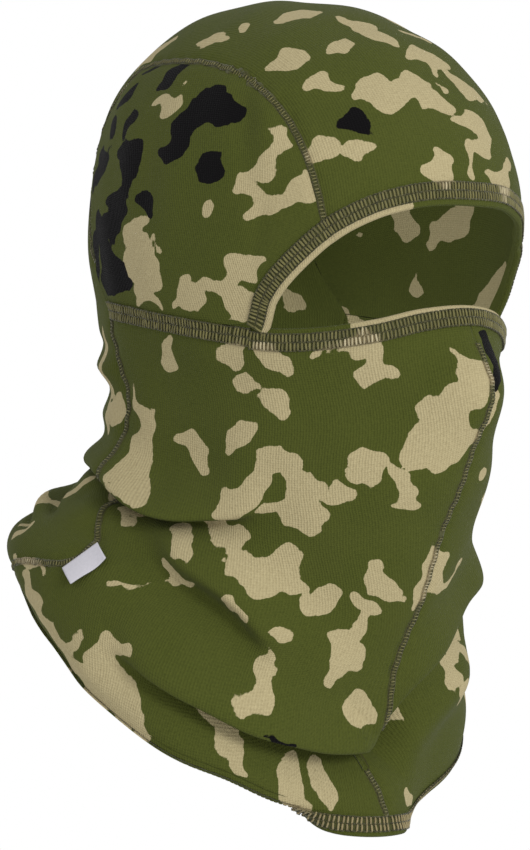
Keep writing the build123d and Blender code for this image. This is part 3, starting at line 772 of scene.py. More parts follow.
PRINTS = {
    "centre": (in_space(upper, CENTRE_TAN) + in_space(lower, scattered(lower, (128, 232), (.3, 7.8), 34))
               + in_space(upper, scattered(upper, (125, 235), (-18, 66), 26))
               + in_space(upper, scattered(upper, (-130, -24), (47, 82), 11)),
               in_space(upper, CENTRE_BLACK + scattered(upper, (150, 200), (-10, 30), 7, 3, 6))
               + in_space(lower, scattered(lower, (170, 220), (3.5, 6.5), 5, 3, 6))),
    "side_right": (in_space(upper, SIDE_TAN), in_space(upper, SIDE_BLACK)),
    "side_left": (in_space(upper, LEFT_SIDE_TAN + scattered(upper, (-122, -62), (6, 44), 11)
                           + scattered(upper, (-122, -98), (-20, 8), 3)),
                  in_space(upper, scattered(upper, (-84, -62), (10, 34), 3, 3, 6))),
    "front_right": (in_space(lower, RIGHT_TAN), in_space(lower, RIGHT_BLACK)),
    "front_left": (in_space(lower, LEFT_TAN + scattered(lower, (-138, -42), (.3, 7.7), 30)),
                   in_space(lower, LEFT_BLACK + scattered(lower, (-100, -80), (.5, 3), 3, 3, 6))),
}


def print_heights(name, points):
    tan, black = PRINTS[name]
    return print_height(points, tan, TAN_TRIM), print_height(points, black, BLACK_TRIM)


# ---------------------------------------------------------------- meshes

SURFACE_POINTS, SURFACE_FACES = [], []


def add_mesh(name, points, faces, attributes=None, uv=None):
    mesh = bpy.data.meshes.new(name)
    mesh.from_pydata((np.asarray(points) * MM).tolist(), [], np.asarray(faces).tolist())
    mesh.polygons.foreach_set("use_smooth", [True] * len(mesh.polygons))
    for key, values in (attributes or {}).items():
        attribute = mesh.attributes.new(key, "FLOAT", "POINT")
        attribute.data.foreach_set("value", np.asarray(values, np.float32))
    if uv is not None:
        layer = mesh.uv_layers.new(name="cloth")
        corners = np.zeros(len(mesh.loops), np.int32)
        mesh.loops.foreach_get("vertex_index", corners)
        layer.data.foreach_set("uv", (uv[corners] * MM).astype(np.float32).ravel())
    mesh.update()
    piece = bpy.data.objects.new(name, mesh)
    bpy.context.scene.collection.objects.link(piece)
    return piece


def grid_faces(rows, columns, flip=False):
    i, j = np.meshgrid(np.arange(rows - 1), np.arange(columns - 1), indexing="ij")
    a = (i * columns + j).ravel()
    quads = np.stack([a, a + 1, a + columns + 1, a + columns], -1)
    return quads[:, ::-1] if flip else quads


def cloth_lengths(points):
    """Lengths along a grid of points in both directions, as texture coordinates in millimetres."""
    v = np.concatenate([np.zeros((1, points.shape[1])),
                        np.cumsum(np.linalg.norm(np.diff(points, axis=0), axis=-1), axis=0)])
    u = np.concatenate([np.zeros((points.shape[0], 1)),
                        np.cumsum(np.linalg.norm(np.diff(points, axis=1), axis=-1), axis=1)], 1)
    middle = points.shape[1] // 2
    u = u - u[:, middle:middle + 1]
    return np.stack([u, v], -1).reshape(-1, 2)


def relaxed(points, passes=1):
    """The same grid with its kinks eased, its edges kept."""
    for _ in range(passes):
        eased = (points[:-2, 1:-1] + points[2:, 1:-1] + points[1:-1, :-2] + points[1:-1, 2:]) / 4
        points = points.copy()
        points[1:-1, 1:-1] = 0.5 * points[1:-1, 1:-1] + 0.5 * eased
    return points


def fabric(name, surface, print_name, rows, columns, mirror=False):
    """A panel of knit on surface(s, t): rows run along t and columns along s."""
    t, s = np.meshgrid(np.linspace(0, 1, rows), np.linspace(0, 1, columns), indexing="ij")
    base = surface(s, t)
    if mirror:
        base = base * [-1, 1, 1]
    worn = relaxed(drape(base))
    tan, black = print_heights(print_name, base.reshape(-1, 3))
    SURFACE_FACES.extend((grid_faces(rows, columns) + len(SURFACE_POINTS)).tolist())
    SURFACE_POINTS.extend(worn.reshape(-1, 3).tolist())
    facing = np.cross(worn[:-1, 1:] - worn[:-1, :-1], worn[1:, :-1] - worn[:-1, :-1])
    inward = np.sum(facing * worn[:-1, :-1] * [1, 1, .5]) < 0
    piece = add_mesh(name, worn.reshape(-1, 3), grid_faces(rows, columns, inward),
                     {"tan": tan, "black": black}, cloth_lengths(base))
    piece.data.materials.append(material_outside)
    piece.data.materials.append(material_inside)
    thicken(piece, KNIT)
    return piece


def thicken(piece, thickness):
    shell = piece.modifiers.new("shell", "SOLIDIFY")
    shell.thickness = thickness * MM
    shell.offset = -1
    shell.material_offset = 1
    shell.material_offset_rim = 1
    apply_modifiers(piece)


def apply_modifiers(piece):
    graph = bpy.context.evaluated_depsgraph_get()
    mesh = bpy.data.meshes.new_from_object(piece.evaluated_get(graph))
    piece.modifiers.clear()
    piece.data = mesh


# ---------------------------------------------------------------- materials

GREEN = (71, 77, 29)
GREEN_DEEP = (44, 51, 15)
GREEN_PATCH = (70, 74, 32)
TAN = (168, 157, 121)
TAN_DEEP = (134, 122, 90)
BLACK = (7, 6, 7)
INSIDE_TINT = (43, 49, 25)
LABEL_DARK = (165, 163, 170)
LABEL_LIGHT = (190, 188, 194)

# the shade and the light of a thread that crosses olive cloth, then of one that crosses sand
THREAD_COLOURS = {
    "overlock_thread": [(66, 64, 34), (112, 107, 66), (122, 111, 80), (176, 166, 135)],
    "needle_thread": [(34, 34, 16), (70, 68, 38), (78, 68, 44), (124, 114, 84)],
    "seam_bed": [(54, 55, 27), (76, 77, 40), (104, 93, 64), (144, 132, 100)],
    "hem_thread": [(104, 94, 64), (140, 128, 92), (122, 111, 80), (166, 154, 122)],
}


def rgb(colour):
    """A colour as it looks on a screen, from 0 to 255, turned into light."""
    return [((c / 255 + 0.055) / 1.055) ** 2.4 if c > 10 else c / 255 / 12.92 for c in colour] + [1.0]


class Nodes:
    """A material's nodes, with short calls to add and join them."""

    def __init__(self, name):
        self.material = bpy.data.materials.new(name)
        self.material.use_nodes = True
        self.tree = self.material.node_tree
        self.tree.nodes.clear()

    def put(self, node, socket, value):
        """Joins a value to a node's socket, or sets the socket to it."""
        if isinstance(value, bpy.types.NodeSocket):
            self.tree.links.new(value, node.inputs[socket])
        else:
            node.inputs[socket].default_value = value

    def add(self, kind, inputs=None, **settings):
        node = self.tree.nodes.new(kind)
        for key, value in settings.items():
            setattr(node, key, value)
        for key, value in (inputs or {}).items():
            self.put(node, key, value)
        return node

    def math(self, operation, a, b=0.0, clamp=False):
        node = self.add("ShaderNodeMath", {0: a, 1: b}, operation=operation, use_clamp=clamp)
        return node.outputs[0]

    def shares(self, a, share_a, b, share_b, clamp=False):
        """A share of one value and a share of another, added."""
        return self.math("ADD", self.math("MULTIPLY", a, share_a), self.math("MULTIPLY", b, share_b), clamp)

    def mix(self, factor, a, b):
        node = self.add("ShaderNodeMix", data_type="RGBA")
        for socket, value in ((0, factor), (6, a), (7, b)):
            self.put(node, socket, value)
        return node.outputs[2]

    def place(self):
        return self.add("ShaderNodeTexCoord").outputs["Object"]

    def cloth(self):
        return self.add("ShaderNodeUVMap", uv_map="cloth").outputs[0]

    def attribute(self, name):
        return self.add("ShaderNodeAttribute", attribute_name=name).outputs["Fac"]

    def noise(self, vector, scale, detail=2.0):
        node = self.add("ShaderNodeTexNoise", {"Vector": vector, "Scale": scale, "Detail": detail})
        return node.outputs["Fac"]

    def waves(self, vector, way, scale, distortion, detail=2.0, detail_scale=1.0):
        inputs = {"Vector": vector, "Scale": scale, "Distortion": distortion, "Detail": detail,
                  "Detail Scale": detail_scale}
        return self.add("ShaderNodeTexWave", inputs, wave_type="BANDS", bands_direction=way).outputs["Fac"]

    def finish(self, colour, roughness, bump, strength, sheen=0.25, distance=0.0006):
        normal = self.add("ShaderNodeBump", {"Height": bump, "Strength": strength, "Distance": distance})
        shader = self.add("ShaderNodeBsdfPrincipled", {
            "Base Color": colour, "Roughness": roughness, "Normal": normal.outputs[0], "Sheen Weight": sheen,
            "Sheen Roughness": 0.5, "Specular IOR Level": 0.08})
        out = self.add("ShaderNodeOutputMaterial")
        self.tree.links.new(shader.outputs[0], out.inputs[0])
        return self.material


def blotch(nodes, name, noise, edge=0.12, rough=2.2):
    """1 inside a blotch and 0 outside, from its height in millimetres and a noise that ruffles its edge."""
    ruffle = nodes.math("MULTIPLY", nodes.math("SUBTRACT", noise, 0.5), rough)
    ruffled = nodes.math("ADD", nodes.attribute(name), ruffle)
    return nodes.math("ADD", nodes.math("DIVIDE", ruffled, 2 * edge), 0.5, clamp=True)


def knit_material(name, inside=False):
    nodes = Nodes(name)
    place, cloth = nodes.place(), nodes.cloth()
    ruffle = nodes.noise(place, 260.0, 3.0)
    # columns of stitches, the rows across them and the heather of the yarn
    wales = nodes.waves(cloth, "X", 260.0, 1.2, 1.0, 2.0)
    courses = nodes.waves(cloth, "Y", 330.0, 2.0, 1.0, 2.0)
    heather = nodes.noise(place, 1000.0, 3.0)
    knit = nodes.shares(wales, 0.6, courses, 0.4)
    fleck = nodes.shares(knit, 0.28, heather, 0.9, clamp=True)
    green = nodes.mix(fleck, rgb(GREEN_DEEP), rgb(GREEN))
    patches = nodes.math("MULTIPLY", nodes.noise(place, 45.0), 0.5)
    green = nodes.mix(patches, green, rgb(GREEN_PATCH))
    sand = nodes.mix(fleck, rgb(TAN_DEEP), rgb(TAN))
    colour = nodes.mix(blotch(nodes, "tan", ruffle), green, sand)
    colour = nodes.mix(blotch(nodes, "black", ruffle), colour, rgb(BLACK))
    if inside:
        colour = nodes.mix(0.25, colour, rgb(INSIDE_TINT))
    return nodes.finish(colour, 0.9, nodes.math("ADD", knit, heather), 0.5, sheen=0.02)


def thread_material(name):
    """Thread or binding that is paler where it crosses sand-coloured cloth."""
    nodes = Nodes(name)
    dark, light, dark_sand, light_sand = (rgb(colour) for colour in THREAD_COLOURS[name])
    fibre = nodes.noise(nodes.place(), 1300.0, 3.0)
    shade = nodes.shares(fibre, 0.6, nodes.attribute("shade"), 0.5, clamp=True)
    olive = nodes.mix(shade, dark, light)
    cream = nodes.mix(shade, dark_sand, light_sand)
    over_tan = nodes.math("ADD", nodes.math("DIVIDE", nodes.attribute("tan"), 1.5), 0.5, clamp=True)
    return nodes.finish(nodes.mix(over_tan, olive, cream), 0.75, fibre, 0.4, sheen=0.2, distance=0.0003)


def label_material():
    nodes = Nodes("woven_satin")
    cloth = nodes.cloth()
    weft = nodes.waves(cloth, "X", 700.0, 0.3)
    shade = nodes.shares(weft, 0.4, nodes.noise(cloth, 900.0), 0.6, clamp=True)
    colour = nodes.mix(shade, rgb(LABEL_DARK), rgb(LABEL_LIGHT))
    return nodes.finish(colour, 0.45, weft, 0.2, sheen=0.1, distance=0.0002)


material_outside = knit_material("printed_jersey")
material_inside = knit_material("jersey_back", inside=True)
material_thread = thread_material("overlock_thread")
material_needle = thread_material("needle_thread")
material_bed = thread_material("seam_bed")
material_hem_thread = thread_material("hem_thread")
material_label = label_material()


# ---------------------------------------------------------------- the panels

def front_left_surface(s, t):
    """The left front panel before it is mirrored."""
    return front_surface(s, t, side=-1)


# surface, print, rows and columns of vertices, mirrored or not
PANELS = {
    "hood_centre": (centre_surface, "centre", 400, 110, False),
    "hood_side_right": (side_surface, "side_right", 100, 110, False),
    "hood_side_left": (side_surface, "side_left", 100, 110, True),
    "front_right": (front_surface, "front_right", 210, 140, False),
    "front_left": (front_left_surface, "front_left", 210, 140, True),
}
pieces = {name: fabric(name, *panel) for name, panel in PANELS.items()}


# ---------------------------------------------------------------- lines on the worn fabric

fabric_tree = BVHTree.FromPolygons(SURFACE_POINTS, SURFACE_FACES)
SEAT_OFFSETS = np.arange(-8.0, 8.1, 1.0)
SEAT_REACH = 3.0
SEAT_SMOOTHING = 5
JUST_SHORT = 1.001        # keeps an index that is rounded down off the last point
BESIDE = 1.5              # how far beside a line its frame is looked for, in millimetres
BESIDE_DEGREES = 1.2
SHARES = np.linspace(0, 1, 400)


def spread(distances, lengths, values):
    """Vectors at distances along a line, from their values at its lengths."""
    return np.stack([np.interp(distances, lengths, values[:, k]) for k in range(3)], -1)


def heights_over(start, way, reach):
    """How high the fabric stands over a point that lies reach below the start, or None."""
    hit = fabric_tree.ray_cast(Vector(start), Vector(way), 2 * reach)
    return None if hit[0] is None else reach - hit[3]


class Line:
    """A line on the worn fabric, evenly spaced, with its frame at each point."""

    def __init__(self, chart, here, beside, side=1, spacing=0.8, seated=True):
        """here and beside are the azimuths and levels of the line and of another a little to its far side."""
        mirror = [side, 1, 1]
        flat, flat_beside = chart(*here) * mirror, chart(*beside) * mirror
        worn, worn_beside = drape(flat), drape(flat_beside)
        normal = np.cross(np.gradient(flat, axis=0), flat_beside - flat)
        worn_normal = np.cross(np.gradient(worn, axis=0), worn_beside - worn)
        outward = flat * [1, .7, .4] + [0, -15, 0]
        worn_normal *= np.sign(dot(normal, outward))[:, None]
        length = np.concatenate([[0], np.cumsum(np.linalg.norm(np.diff(worn, axis=0), axis=1))])
        self.length = length[-1]
        self.count = max(2, int(self.length / spacing))
        self.even = np.linspace(0, self.length, self.count)
        self.base = spread(self.even, length, flat)
        self.points = spread(self.even, length, worn)
        self.normal = unit(spread(self.even, length, unit(worn_normal)))
        self.along = unit(np.gradient(self.points, axis=0))
        across = np.cross(self.normal, self.along)
        toward = spread(self.even, length, worn_beside - worn)
        self.across = unit(across * np.sign(dot(across, toward))[:, None])
        self.seat = self.seated() if seated else np.zeros((self.count, len(SEAT_OFFSETS)))

    def seated(self):
        """How high the fabric stands over the line's flat frame, at each point and offset across."""
        heights = np.full((self.count, len(SEAT_OFFSETS)), np.nan)
        for i, j in np.ndindex(heights.shape):
            start = self.points[i] + self.across[i] * SEAT_OFFSETS[j] + self.normal[i] * SEAT_REACH
            height = heights_over(start, -self.normal[i], SEAT_REACH)
            if height is not None:
                heights[i, j] = height
        middle = len(SEAT_OFFSETS) // 2
        heights[np.isnan(heights[:, middle]), middle] = 0
        for way in (1, -1):
            for j in range(middle + way, len(SEAT_OFFSETS) if way > 0 else -1, way):
                missing = np.isnan(heights[:, j])
                heights[missing, j] = heights[missing, j - way]
        kernel = np.ones(SEAT_SMOOTHING) / SEAT_SMOOTHING
        ends = SEAT_SMOOTHING // 2
        padded = np.pad(heights, ((ends, ends), (0, 0)), mode="edge")
        return np.stack([np.convolve(column, kernel, mode="valid") for column in padded.T], -1)

    def seat_at(self, distances, offsets):
        """The fabric's height at distances along the line and offsets across it."""
        i = np.clip(distances / self.length * (self.count - 1), 0, self.count - JUST_SHORT)
        j = np.clip(offsets - SEAT_OFFSETS[0], 0, len(SEAT_OFFSETS) - JUST_SHORT)
        i0, j0 = i.astype(int), j.astype(int)
        fi, fj = i - i0, j - j0
        s = self.seat
        return ((s[i0, j0] * (1 - fj) + s[i0, j0 + 1] * fj) * (1 - fi)
                + (s[i0 + 1, j0] * (1 - fj) + s[i0 + 1, j0 + 1] * fj) * fi)

    def turn_under(self, angles):
        """Turns the frame about the line, so that what hangs from it tucks in under the fabric."""
        c, d = np.cos(angles)[:, None], np.sin(angles)[:, None]
        self.across, self.normal = self.across * c - self.normal * d, self.normal * c + self.across * d

    def at(self, distances):
        """Points and frames at distances along the line."""
        frames = [unit(spread(distances, self.even, v)) for v in (self.along, self.across, self.normal)]
        return [spread(distances, self.even, self.points)] + frames


def brow_line():
    """The opening's upper edge; across points into the opening."""
    azimuth = -EYE_CORNER + 2 * EYE_CORNER * SHARES
    rise = (brow_z(azimuth + 1) - brow_z(azimuth - 1)) / 2
    length = np.hypot(rise, BROW_MM_PER_DEGREE)
    level = latitude_at(brow_z(azimuth))
    azimuth_inside = azimuth + BESIDE * rise / length / BROW_MM_PER_DEGREE
    level_inside = latitude_at(brow_z(azimuth) - BESIDE * BROW_MM_PER_DEGREE / length)
    return Line(upper, (azimuth, level), (azimuth_inside, level_inside))


def row_line(azimuth, side=1):
    """A line along the cheek line; across points down the fabric."""
    return Line(lower, (azimuth, 0 * SHARES), (azimuth, row_past(azimuth, 0 * SHARES, BESIDE)), side)


def seam_line(azimuth_at, first_row, last_row, side=1):
    """A line down the lower chart, at an azimuth for each row; across points backwards."""
    row = first_row + (last_row - first_row) * SHARES
    azimuth = azimuth_at(row)
    return Line(lower, (azimuth, row), (azimuth + BESIDE_DEGREES, row), side)


def crown_line(side):
    places = crown_places()
    knots = np.linspace(0, 1, len(places))
    azimuth, level = (curve(list(zip(knots, column)), SHARES, level=False) for column in zip(*places))
    return Line(upper, (azimuth, level), (azimuth + BESIDE_DEGREES, level + BESIDE_DEGREES / 2), side)


def hem_line():
    """Round the top of the bottom hem; across points down the bib, or in under it where the hem turns."""
    azimuth = SHARES * 360
    level = hem_top(azimuth)
    line = Line(lower, (azimuth, level), (azimuth, level + .05), seated=False)
    around_line = np.degrees(np.arctan2(-line.points[:, 0], -line.points[:, 1])) % 360
    line.turn_under(np.radians(hem_turn(around_line)))
    return line


# ---------------------------------------------------------------- bands, rungs and needle thread

RUNG_RING = 6
WIDE_RUNG = {"length": BAND_WIDTH / 2 - .3, "radius": .42, "height": .5}
WIDE_NEEDLE = {"length": 1.7, "radius": .3, "height": .5}
WIDE_PITCH, WIDE_NEEDLE_PITCH = 1.55, 1.9
NARROW_STITCH = {"length": NARROW_RUNG, "radius": .24, "height": .32}
NARROW_NEEDLE = {"length": 1.4, "radius": .2, "height": .32}
NARROW_PITCH, NARROW_NEEDLE_PITCH = 1.4, 1.7
BED_MARGIN, BED_SINK = 0.3, -0.5          # a bed's edges run this far out and down
WANDER_ALONG, SIZE_SPREAD = 0.06, 0.08    # how unevenly stitches are spaced and sized
MEAN_LEAN, LEAN_SHARE = 0.15, 0.3
THREADS = np.random.default_rng(5)


def rounded_edge(start, end, thickness, tuck=6, proud=0.15, bend=0.35):
    """A turned edge's section, as (distance across, height) from its outside round the fold to its inside."""
    radius = thickness / 2
    outside = [(x, proud) for x in np.linspace(start, end - radius, 7)]
    turn = [(end - radius + radius * math.sin(a), -radius + (radius + proud) * math.cos(a))
            for a in np.linspace(bend, math.pi - bend, 7)]
    inside = [(x, -thickness) for x in np.linspace(end - radius, start + (end - start) / tuck, 4)]
    return outside + turn + inside


def flat_section(width, height, middle=0.0, sides=0.5):
    """The section of a seam's bed, whose edges sink into the cloth."""
    half = width / 2
    flat, edge = half * .6, half + BED_MARGIN
    return [(middle + x, h) for x, h in (
        (-edge, BED_SINK), (-half, height * sides), (-flat, height), (0, height), (flat, height),
        (half, height * sides), (edge, BED_SINK))]


def band(name, line, section, print_name, material, cream=None):
    """A strip that follows a line, with a section of (distance across, height).

    cream is a range of azimuths and of distances across where the strip was cut from sand-coloured cloth."""
    rows = []
    for x, height in section:
        seat = line.seat_at(line.even, np.full(line.count, x))[:, None]
        rows.append(line.points + line.across * x + line.normal * (height + seat))
    grid = np.stack(rows)
    base = np.stack([line.base + line.across * x for x, _ in section])
    tan, black = print_heights(print_name, base.reshape(-1, 3))
    if cream:
        azimuth = np.degrees(np.arctan2(-base[..., 0], -base[..., 1])).ravel()
        inside = np.minimum(azimuth - cream[0], cream[1] - azimuth) * MM_PER_DEGREE
        across = np.repeat([x for x, _ in section], line.count)
        tan = np.maximum(tan, np.minimum(inside, np.minimum(across - cream[2], cream[3] - across)))
    first = np.cross(grid[0, 1] - grid[0, 0], grid[1, 0] - grid[0, 0])
    faces = grid_faces(*grid.shape[:2], flip=dot(first, line.normal[0]) < 0)
    piece = add_mesh(name, grid.reshape(-1, 3), faces, {"tan": tan, "black": black}, cloth_lengths(grid))
    piece.data.materials.append(material)
    return piece


def tube_template(path, radii):
    """Vertices and faces of a tube through points in its own (across, along, height) frame."""
    path = np.array(path, float)
    angles = np.linspace(0, 2 * math.pi, RUNG_RING, endpoint=False)
    tangent = unit(np.gradient(path, axis=0))
    side = unit(np.cross(tangent, [0.02, 0.03, 1.0]))
    up = np.cross(side, tangent)
    circle = side[:, None] * np.cos(angles)[None, :, None] + up[:, None] * np.sin(angles)[None, :, None]
    verts = (path[:, None] + circle * np.array(radii)[:, None, None]).reshape(-1, 3)
    faces = []
    for i in range(len(path) - 1):
        for j in range(RUNG_RING):
            here, after = i * RUNG_RING, (i + 1) * RUNG_RING
            k = (j + 1) % RUNG_RING
            faces.append((here + j, here + k, after + k, after + j))
    return verts, np.array(faces)


def rung(length, radius, height, foot=-0.2):
    """One stitch across a seam."""
    half, knee = length / 2, length / 2 * .82
    bend = height * .75
    path = [(-half, 0, foot), (-knee, 0, bend), (0, 0, height), (knee, 0, bend), (half, 0, foot)]
    return tube_template(path, [radius * .7, radius, radius * 1.05, radius, radius * .7])


def dash(length, radius, height, foot=-0.2):
    """One stitch of needle thread, along a seam."""
    half = length / 2
    path = [(0, -half, foot), (0, -half * .6, height), (0, half * .6, height), (0, half, foot)]
    return tube_template(path, [radius * .6, radius, radius, radius * .6])


def repeated(line, template, offset, pitch, skew=0.25, lift=0.0, clear=1.0):
    """Copies of a template along a line: vertices, faces, places on the charts and random shades."""
    verts, faces = template
    distances = np.arange(clear, line.length - clear, pitch)
    count = len(distances)
    distances = distances + THREADS.normal(0, WANDER_ALONG * pitch, count)
    points, along, across, normal = line.at(distances)
    lean = THREADS.normal(MEAN_LEAN, skew, count)
    size = THREADS.normal(1, SIZE_SPREAD, count)
    local_x = verts[None, :, 0] * size[:, None] + offset
    local_y = verts[None, :, 1] + verts[None, :, 0] * lean[:, None] * LEAN_SHARE
    seat = line.seat_at(np.broadcast_to(distances[:, None], local_x.shape), local_x)
    local_z = verts[None, :, 2] + lift + seat
    placed = (points[:, None] + across[:, None] * local_x[..., None] + along[:, None] * local_y[..., None]
              + normal[:, None] * local_z[..., None])
    shifts = (np.arange(count) * len(verts))[:, None, None]
    base = spread(distances, line.even, line.base) + across * offset
    shade = np.repeat(THREADS.uniform(0, 1, count), len(verts))
    faces = (faces[None] + shifts).reshape(-1, 4)
    return placed.reshape(-1, 3), faces, np.repeat(base, len(verts), axis=0), shade


def stitching(name, runs, print_name, material):
    """One mesh from several runs of thread."""
    points, faces, bases, shades = zip(*runs)
    starts = np.cumsum([0] + [len(run) for run in points[:-1]])
    tan, _ = print_heights(print_name, np.concatenate(bases))
    piece = add_mesh(name, np.concatenate(points), np.concatenate([f + k for f, k in zip(faces, starts)]),
                     {"tan": tan, "shade": np.concatenate(shades)})
    piece.data.materials.append(material)
    return piece


def threaded(bed, name, rungs, needles, print_name, rung_material=material_thread):
    """A bed, and its rungs and needle thread as two pieces more."""
    return [bed, stitching(name + "_rungs", rungs, print_name, rung_material),
            stitching(name + "_needles", needles, print_name, material_needle)]


def wide_ladder(line, middle, lift):
    """Two rows of rungs with needle thread between and beside them."""
    half = BAND_WIDTH / 2
    stitch, needle = rung(**WIDE_RUNG), dash(**WIDE_NEEDLE)
    rungs = [repeated(line, stitch, middle + k * half / 2, WIDE_PITCH, lift=lift) for k in (-1, 1)]
    needles = [repeated(line, needle, middle + k * (half - .1), WIDE_NEEDLE_PITCH, skew=0, lift=lift)
               for k in (-1, 0, 1)]
    return rungs, needles


def narrow_ladder(line, lift):
    stitch, needle = rung(**NARROW_STITCH), dash(**NARROW_NEEDLE)
    rungs = [repeated(line, stitch, 0, NARROW_PITCH, lift=lift)]
    needles = [repeated(line, needle, k * NARROW_RUNG / 2, NARROW_NEEDLE_PITCH, skew=0, lift=lift)
               for k in (-1, 1)]
    return rungs, needles


def seam(name, line, print_name, wide=False):
    """A stitched seam: its bed, rungs and needle thread."""
    width, lift = (BAND_WIDTH, 0.45) if wide else (NARROW_SEAM_WIDTH, 0.2)
    bed = band(name, line, flat_section(width, lift), print_name, material_bed)
    rungs, needles = wide_ladder(line, 0, lift) if wide else narrow_ladder(line, lift)
    return threaded(bed, name, rungs, needles, print_name)


# ---------------------------------------------------------------- the three hems

BROW_BED_HEIGHT, BROW_LIFT = 0.3, 0.2
MASK_BED_HEIGHT, MASK_LIFT = 0.35, 0.3
# azimuths, then distances across, between which the hem was cut from sand-coloured cloth
BROW_CREAM = (17, 70, BAND_WIDTH - 1, BROW_HEM_WIDTH + 2)
MASK_CREAM = (-34, 31, -MASK_HEM_WIDTH, 3 - MASK_HEM_WIDTH / 2)
HEM_BAND_WIDTH = BOTTOM_HEM_WIDTH * .75
HEM_BED_HEIGHT, HEM_LIFT = 0.4, 0.35
HEM_RUNG = {"length": 2.9, "radius": .42, "height": .5}
HEM_NEEDLE = {"length": 1.8, "radius": .3, "height": .5}
HEM_RUNG_ROWS = (1.6, 4.6)
HEM_NEEDLE_ROWS = (.1, 3.1, 6.1)
HEM_PITCH, HEM_NEEDLE_PITCH = 1.9, 2.1


def opening_hem(name, word, line, section, middle, bed_height, lift, print_name, cream):
    """An edge of the eye opening: its fabric, and the stitched band centred on middle."""
    edge = band(name, line, section, print_name, material_outside, cream)
    bed = band(word + "_bed", line, flat_section(BAND_WIDTH, bed_height, middle), print_name, material_bed)
    rungs, needles = wide_ladder(line, middle, lift)
    return edge, threaded(bed, word, rungs, needles, print_name)


brow_piece, brow_parts = opening_hem(
    "brow_edge", "brow_edge", brow_line(), rounded_edge(0, BROW_HEM_WIDTH, HEM_FOLD), BAND_WIDTH / 2,
    BROW_BED_HEIGHT, BROW_LIFT, "centre", BROW_CREAM)

half_mask = MASK_HEM_WIDTH / 2
mask_piece, mask_parts = opening_hem(
    "mask_edge_fabric", "mask_edge", row_line((2 * SHARES - 1) * (EYE_CORNER - .3)),
    [(half_mask - x, h) for x, h in rounded_edge(0, MASK_HEM_WIDTH, HEM_FOLD)], half_mask - BAND_WIDTH / 2,
    MASK_BED_HEIGHT, MASK_LIFT, "front_right", MASK_CREAM)

hem = hem_line()
hem_section = rounded_edge(-1, BOTTOM_HEM_WIDTH, HEM_FOLD)
hem_piece = band("bib_hem", hem, hem_section, "front_right", material_outside)
hem_bed_section = flat_section(HEM_BAND_WIDTH, HEM_BED_HEIGHT, HEM_BAND_WIDTH / 2)
hem_bed = band("bib_hem_bed", hem, hem_bed_section, "front_right", material_bed)
hem_rungs = [repeated(hem, rung(**HEM_RUNG), row, HEM_PITCH, lift=HEM_LIFT) for row in HEM_RUNG_ROWS]
hem_needles = [repeated(hem, dash(**HEM_NEEDLE), row, HEM_NEEDLE_PITCH, skew=0, lift=HEM_LIFT)
               for row in HEM_NEEDLE_ROWS]
hem_parts = threaded(hem_bed, "bib_hem", hem_rungs, hem_needles, "front_right", material_hem_thread)


# ---------------------------------------------------------------- the seams

CHEEK_START, CHEEK_END = EYE_CORNER - .8, 124.0
FRONT_START, JAW_ROW = .35, 3.0

seams = {}
for side, word in ((1, "right"), (-1, "left")):
    cheek = row_line(CHEEK_START + (CHEEK_END - CHEEK_START) * SHARES, side)
    seams[f"cheek_seam_{word}"] = seam(f"cheek_band_{word}", cheek, f"front_{word}", wide=True)
    back = seam_line(side_seam, 0, SEAM_END_ROW, side)
    seams[f"side_seam_{word}"] = seam(f"side_join_{word}", back, f"front_{word}")
    seams[f"crown_seam_{word}"] = seam(f"crown_join_{word}", crown_line(side), "centre")
face_line = seam_line(front_seam, FRONT_START, JAW_ROW)
seams["face_front_seam"] = seam("face_join", face_line, "front_right")
neck_line = seam_line(front_seam, JAW_ROW, float(panel_end(0.0)))
seams["neck_front_seam"] = seam("neck_join", neck_line, "front_right")


# ---------------------------------------------------------------- the care label

def make_label(rows=16, columns=22):
    """The label hangs forward from its joint's axis, level with the highest fabric beneath it."""
    joint = next(j for j in frame["joints"] if j["name"] == "label_flap")
    along = unit(np.array(joint["axis"]))
    _, normal, _ = chart_frame(lower, side_seam(LABEL_ROW), np.array(LABEL_ROW))
    normal = unit(normal - along * (normal @ along))
    away = np.cross(normal, along)
    away = away if away[1] < 0 else -away
    edge = np.array(joint["pos_m"]) / MM
    v, u = np.meshgrid(np.linspace(0, 1, rows), np.linspace(-.5, .5, columns), indexing="ij")
    curl = 0.9 * np.sin(v * 2.4) + 1.1 * v * (2 * u) ** 2 + .4 * np.sin(u * 7) * v
    flat = edge + along * (u * LABEL_WIDTH)[..., None] + away * (v * LABEL_LENGTH)[..., None]
    heights = np.zeros(v.shape)
    for place in np.ndindex(v.shape):
        heights[place] = heights_over(flat[place] + normal * LABEL_REACH, -normal, LABEL_REACH) or 0
    level = np.polyval(np.polyfit(v.ravel(), heights.ravel(), 1), v)
    level += np.max(heights - level)
    points = flat + normal * (level + curl + LABEL_GAP)[..., None]
    faces = grid_faces(rows, columns)
    piece = add_mesh("label_tape", points.reshape(-1, 3), faces, None, cloth_lengths(points))
    piece.data.materials.append(material_label)
    piece.data.materials.append(material_label)
    thicken(piece, LABEL_THICKNESS)
    return piece


label = make_label()


# ---------------------------------------------------------------- what rides on what

REPLACED = {
    "hood_centre": ["centre_panel"],
    "hood_side_right": ["side_panel_right"],
    "hood_side_left": ["side_panel_left"],
    "front_right": ["face_panel_right", "neck_panel_right"],
    "front_left": ["face_panel_left", "neck_panel_left"],
}


def settle(piece, body, slot, *nodes):
    """body is a body's name, or "front" for what lies between the jaw and the mask's edge,
    which is attached to no body; its place is baked into its mesh.
    """
    if body == "front":
        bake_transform(piece)
    else:
        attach(piece, body)
    if nodes:
        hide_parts(*nodes)


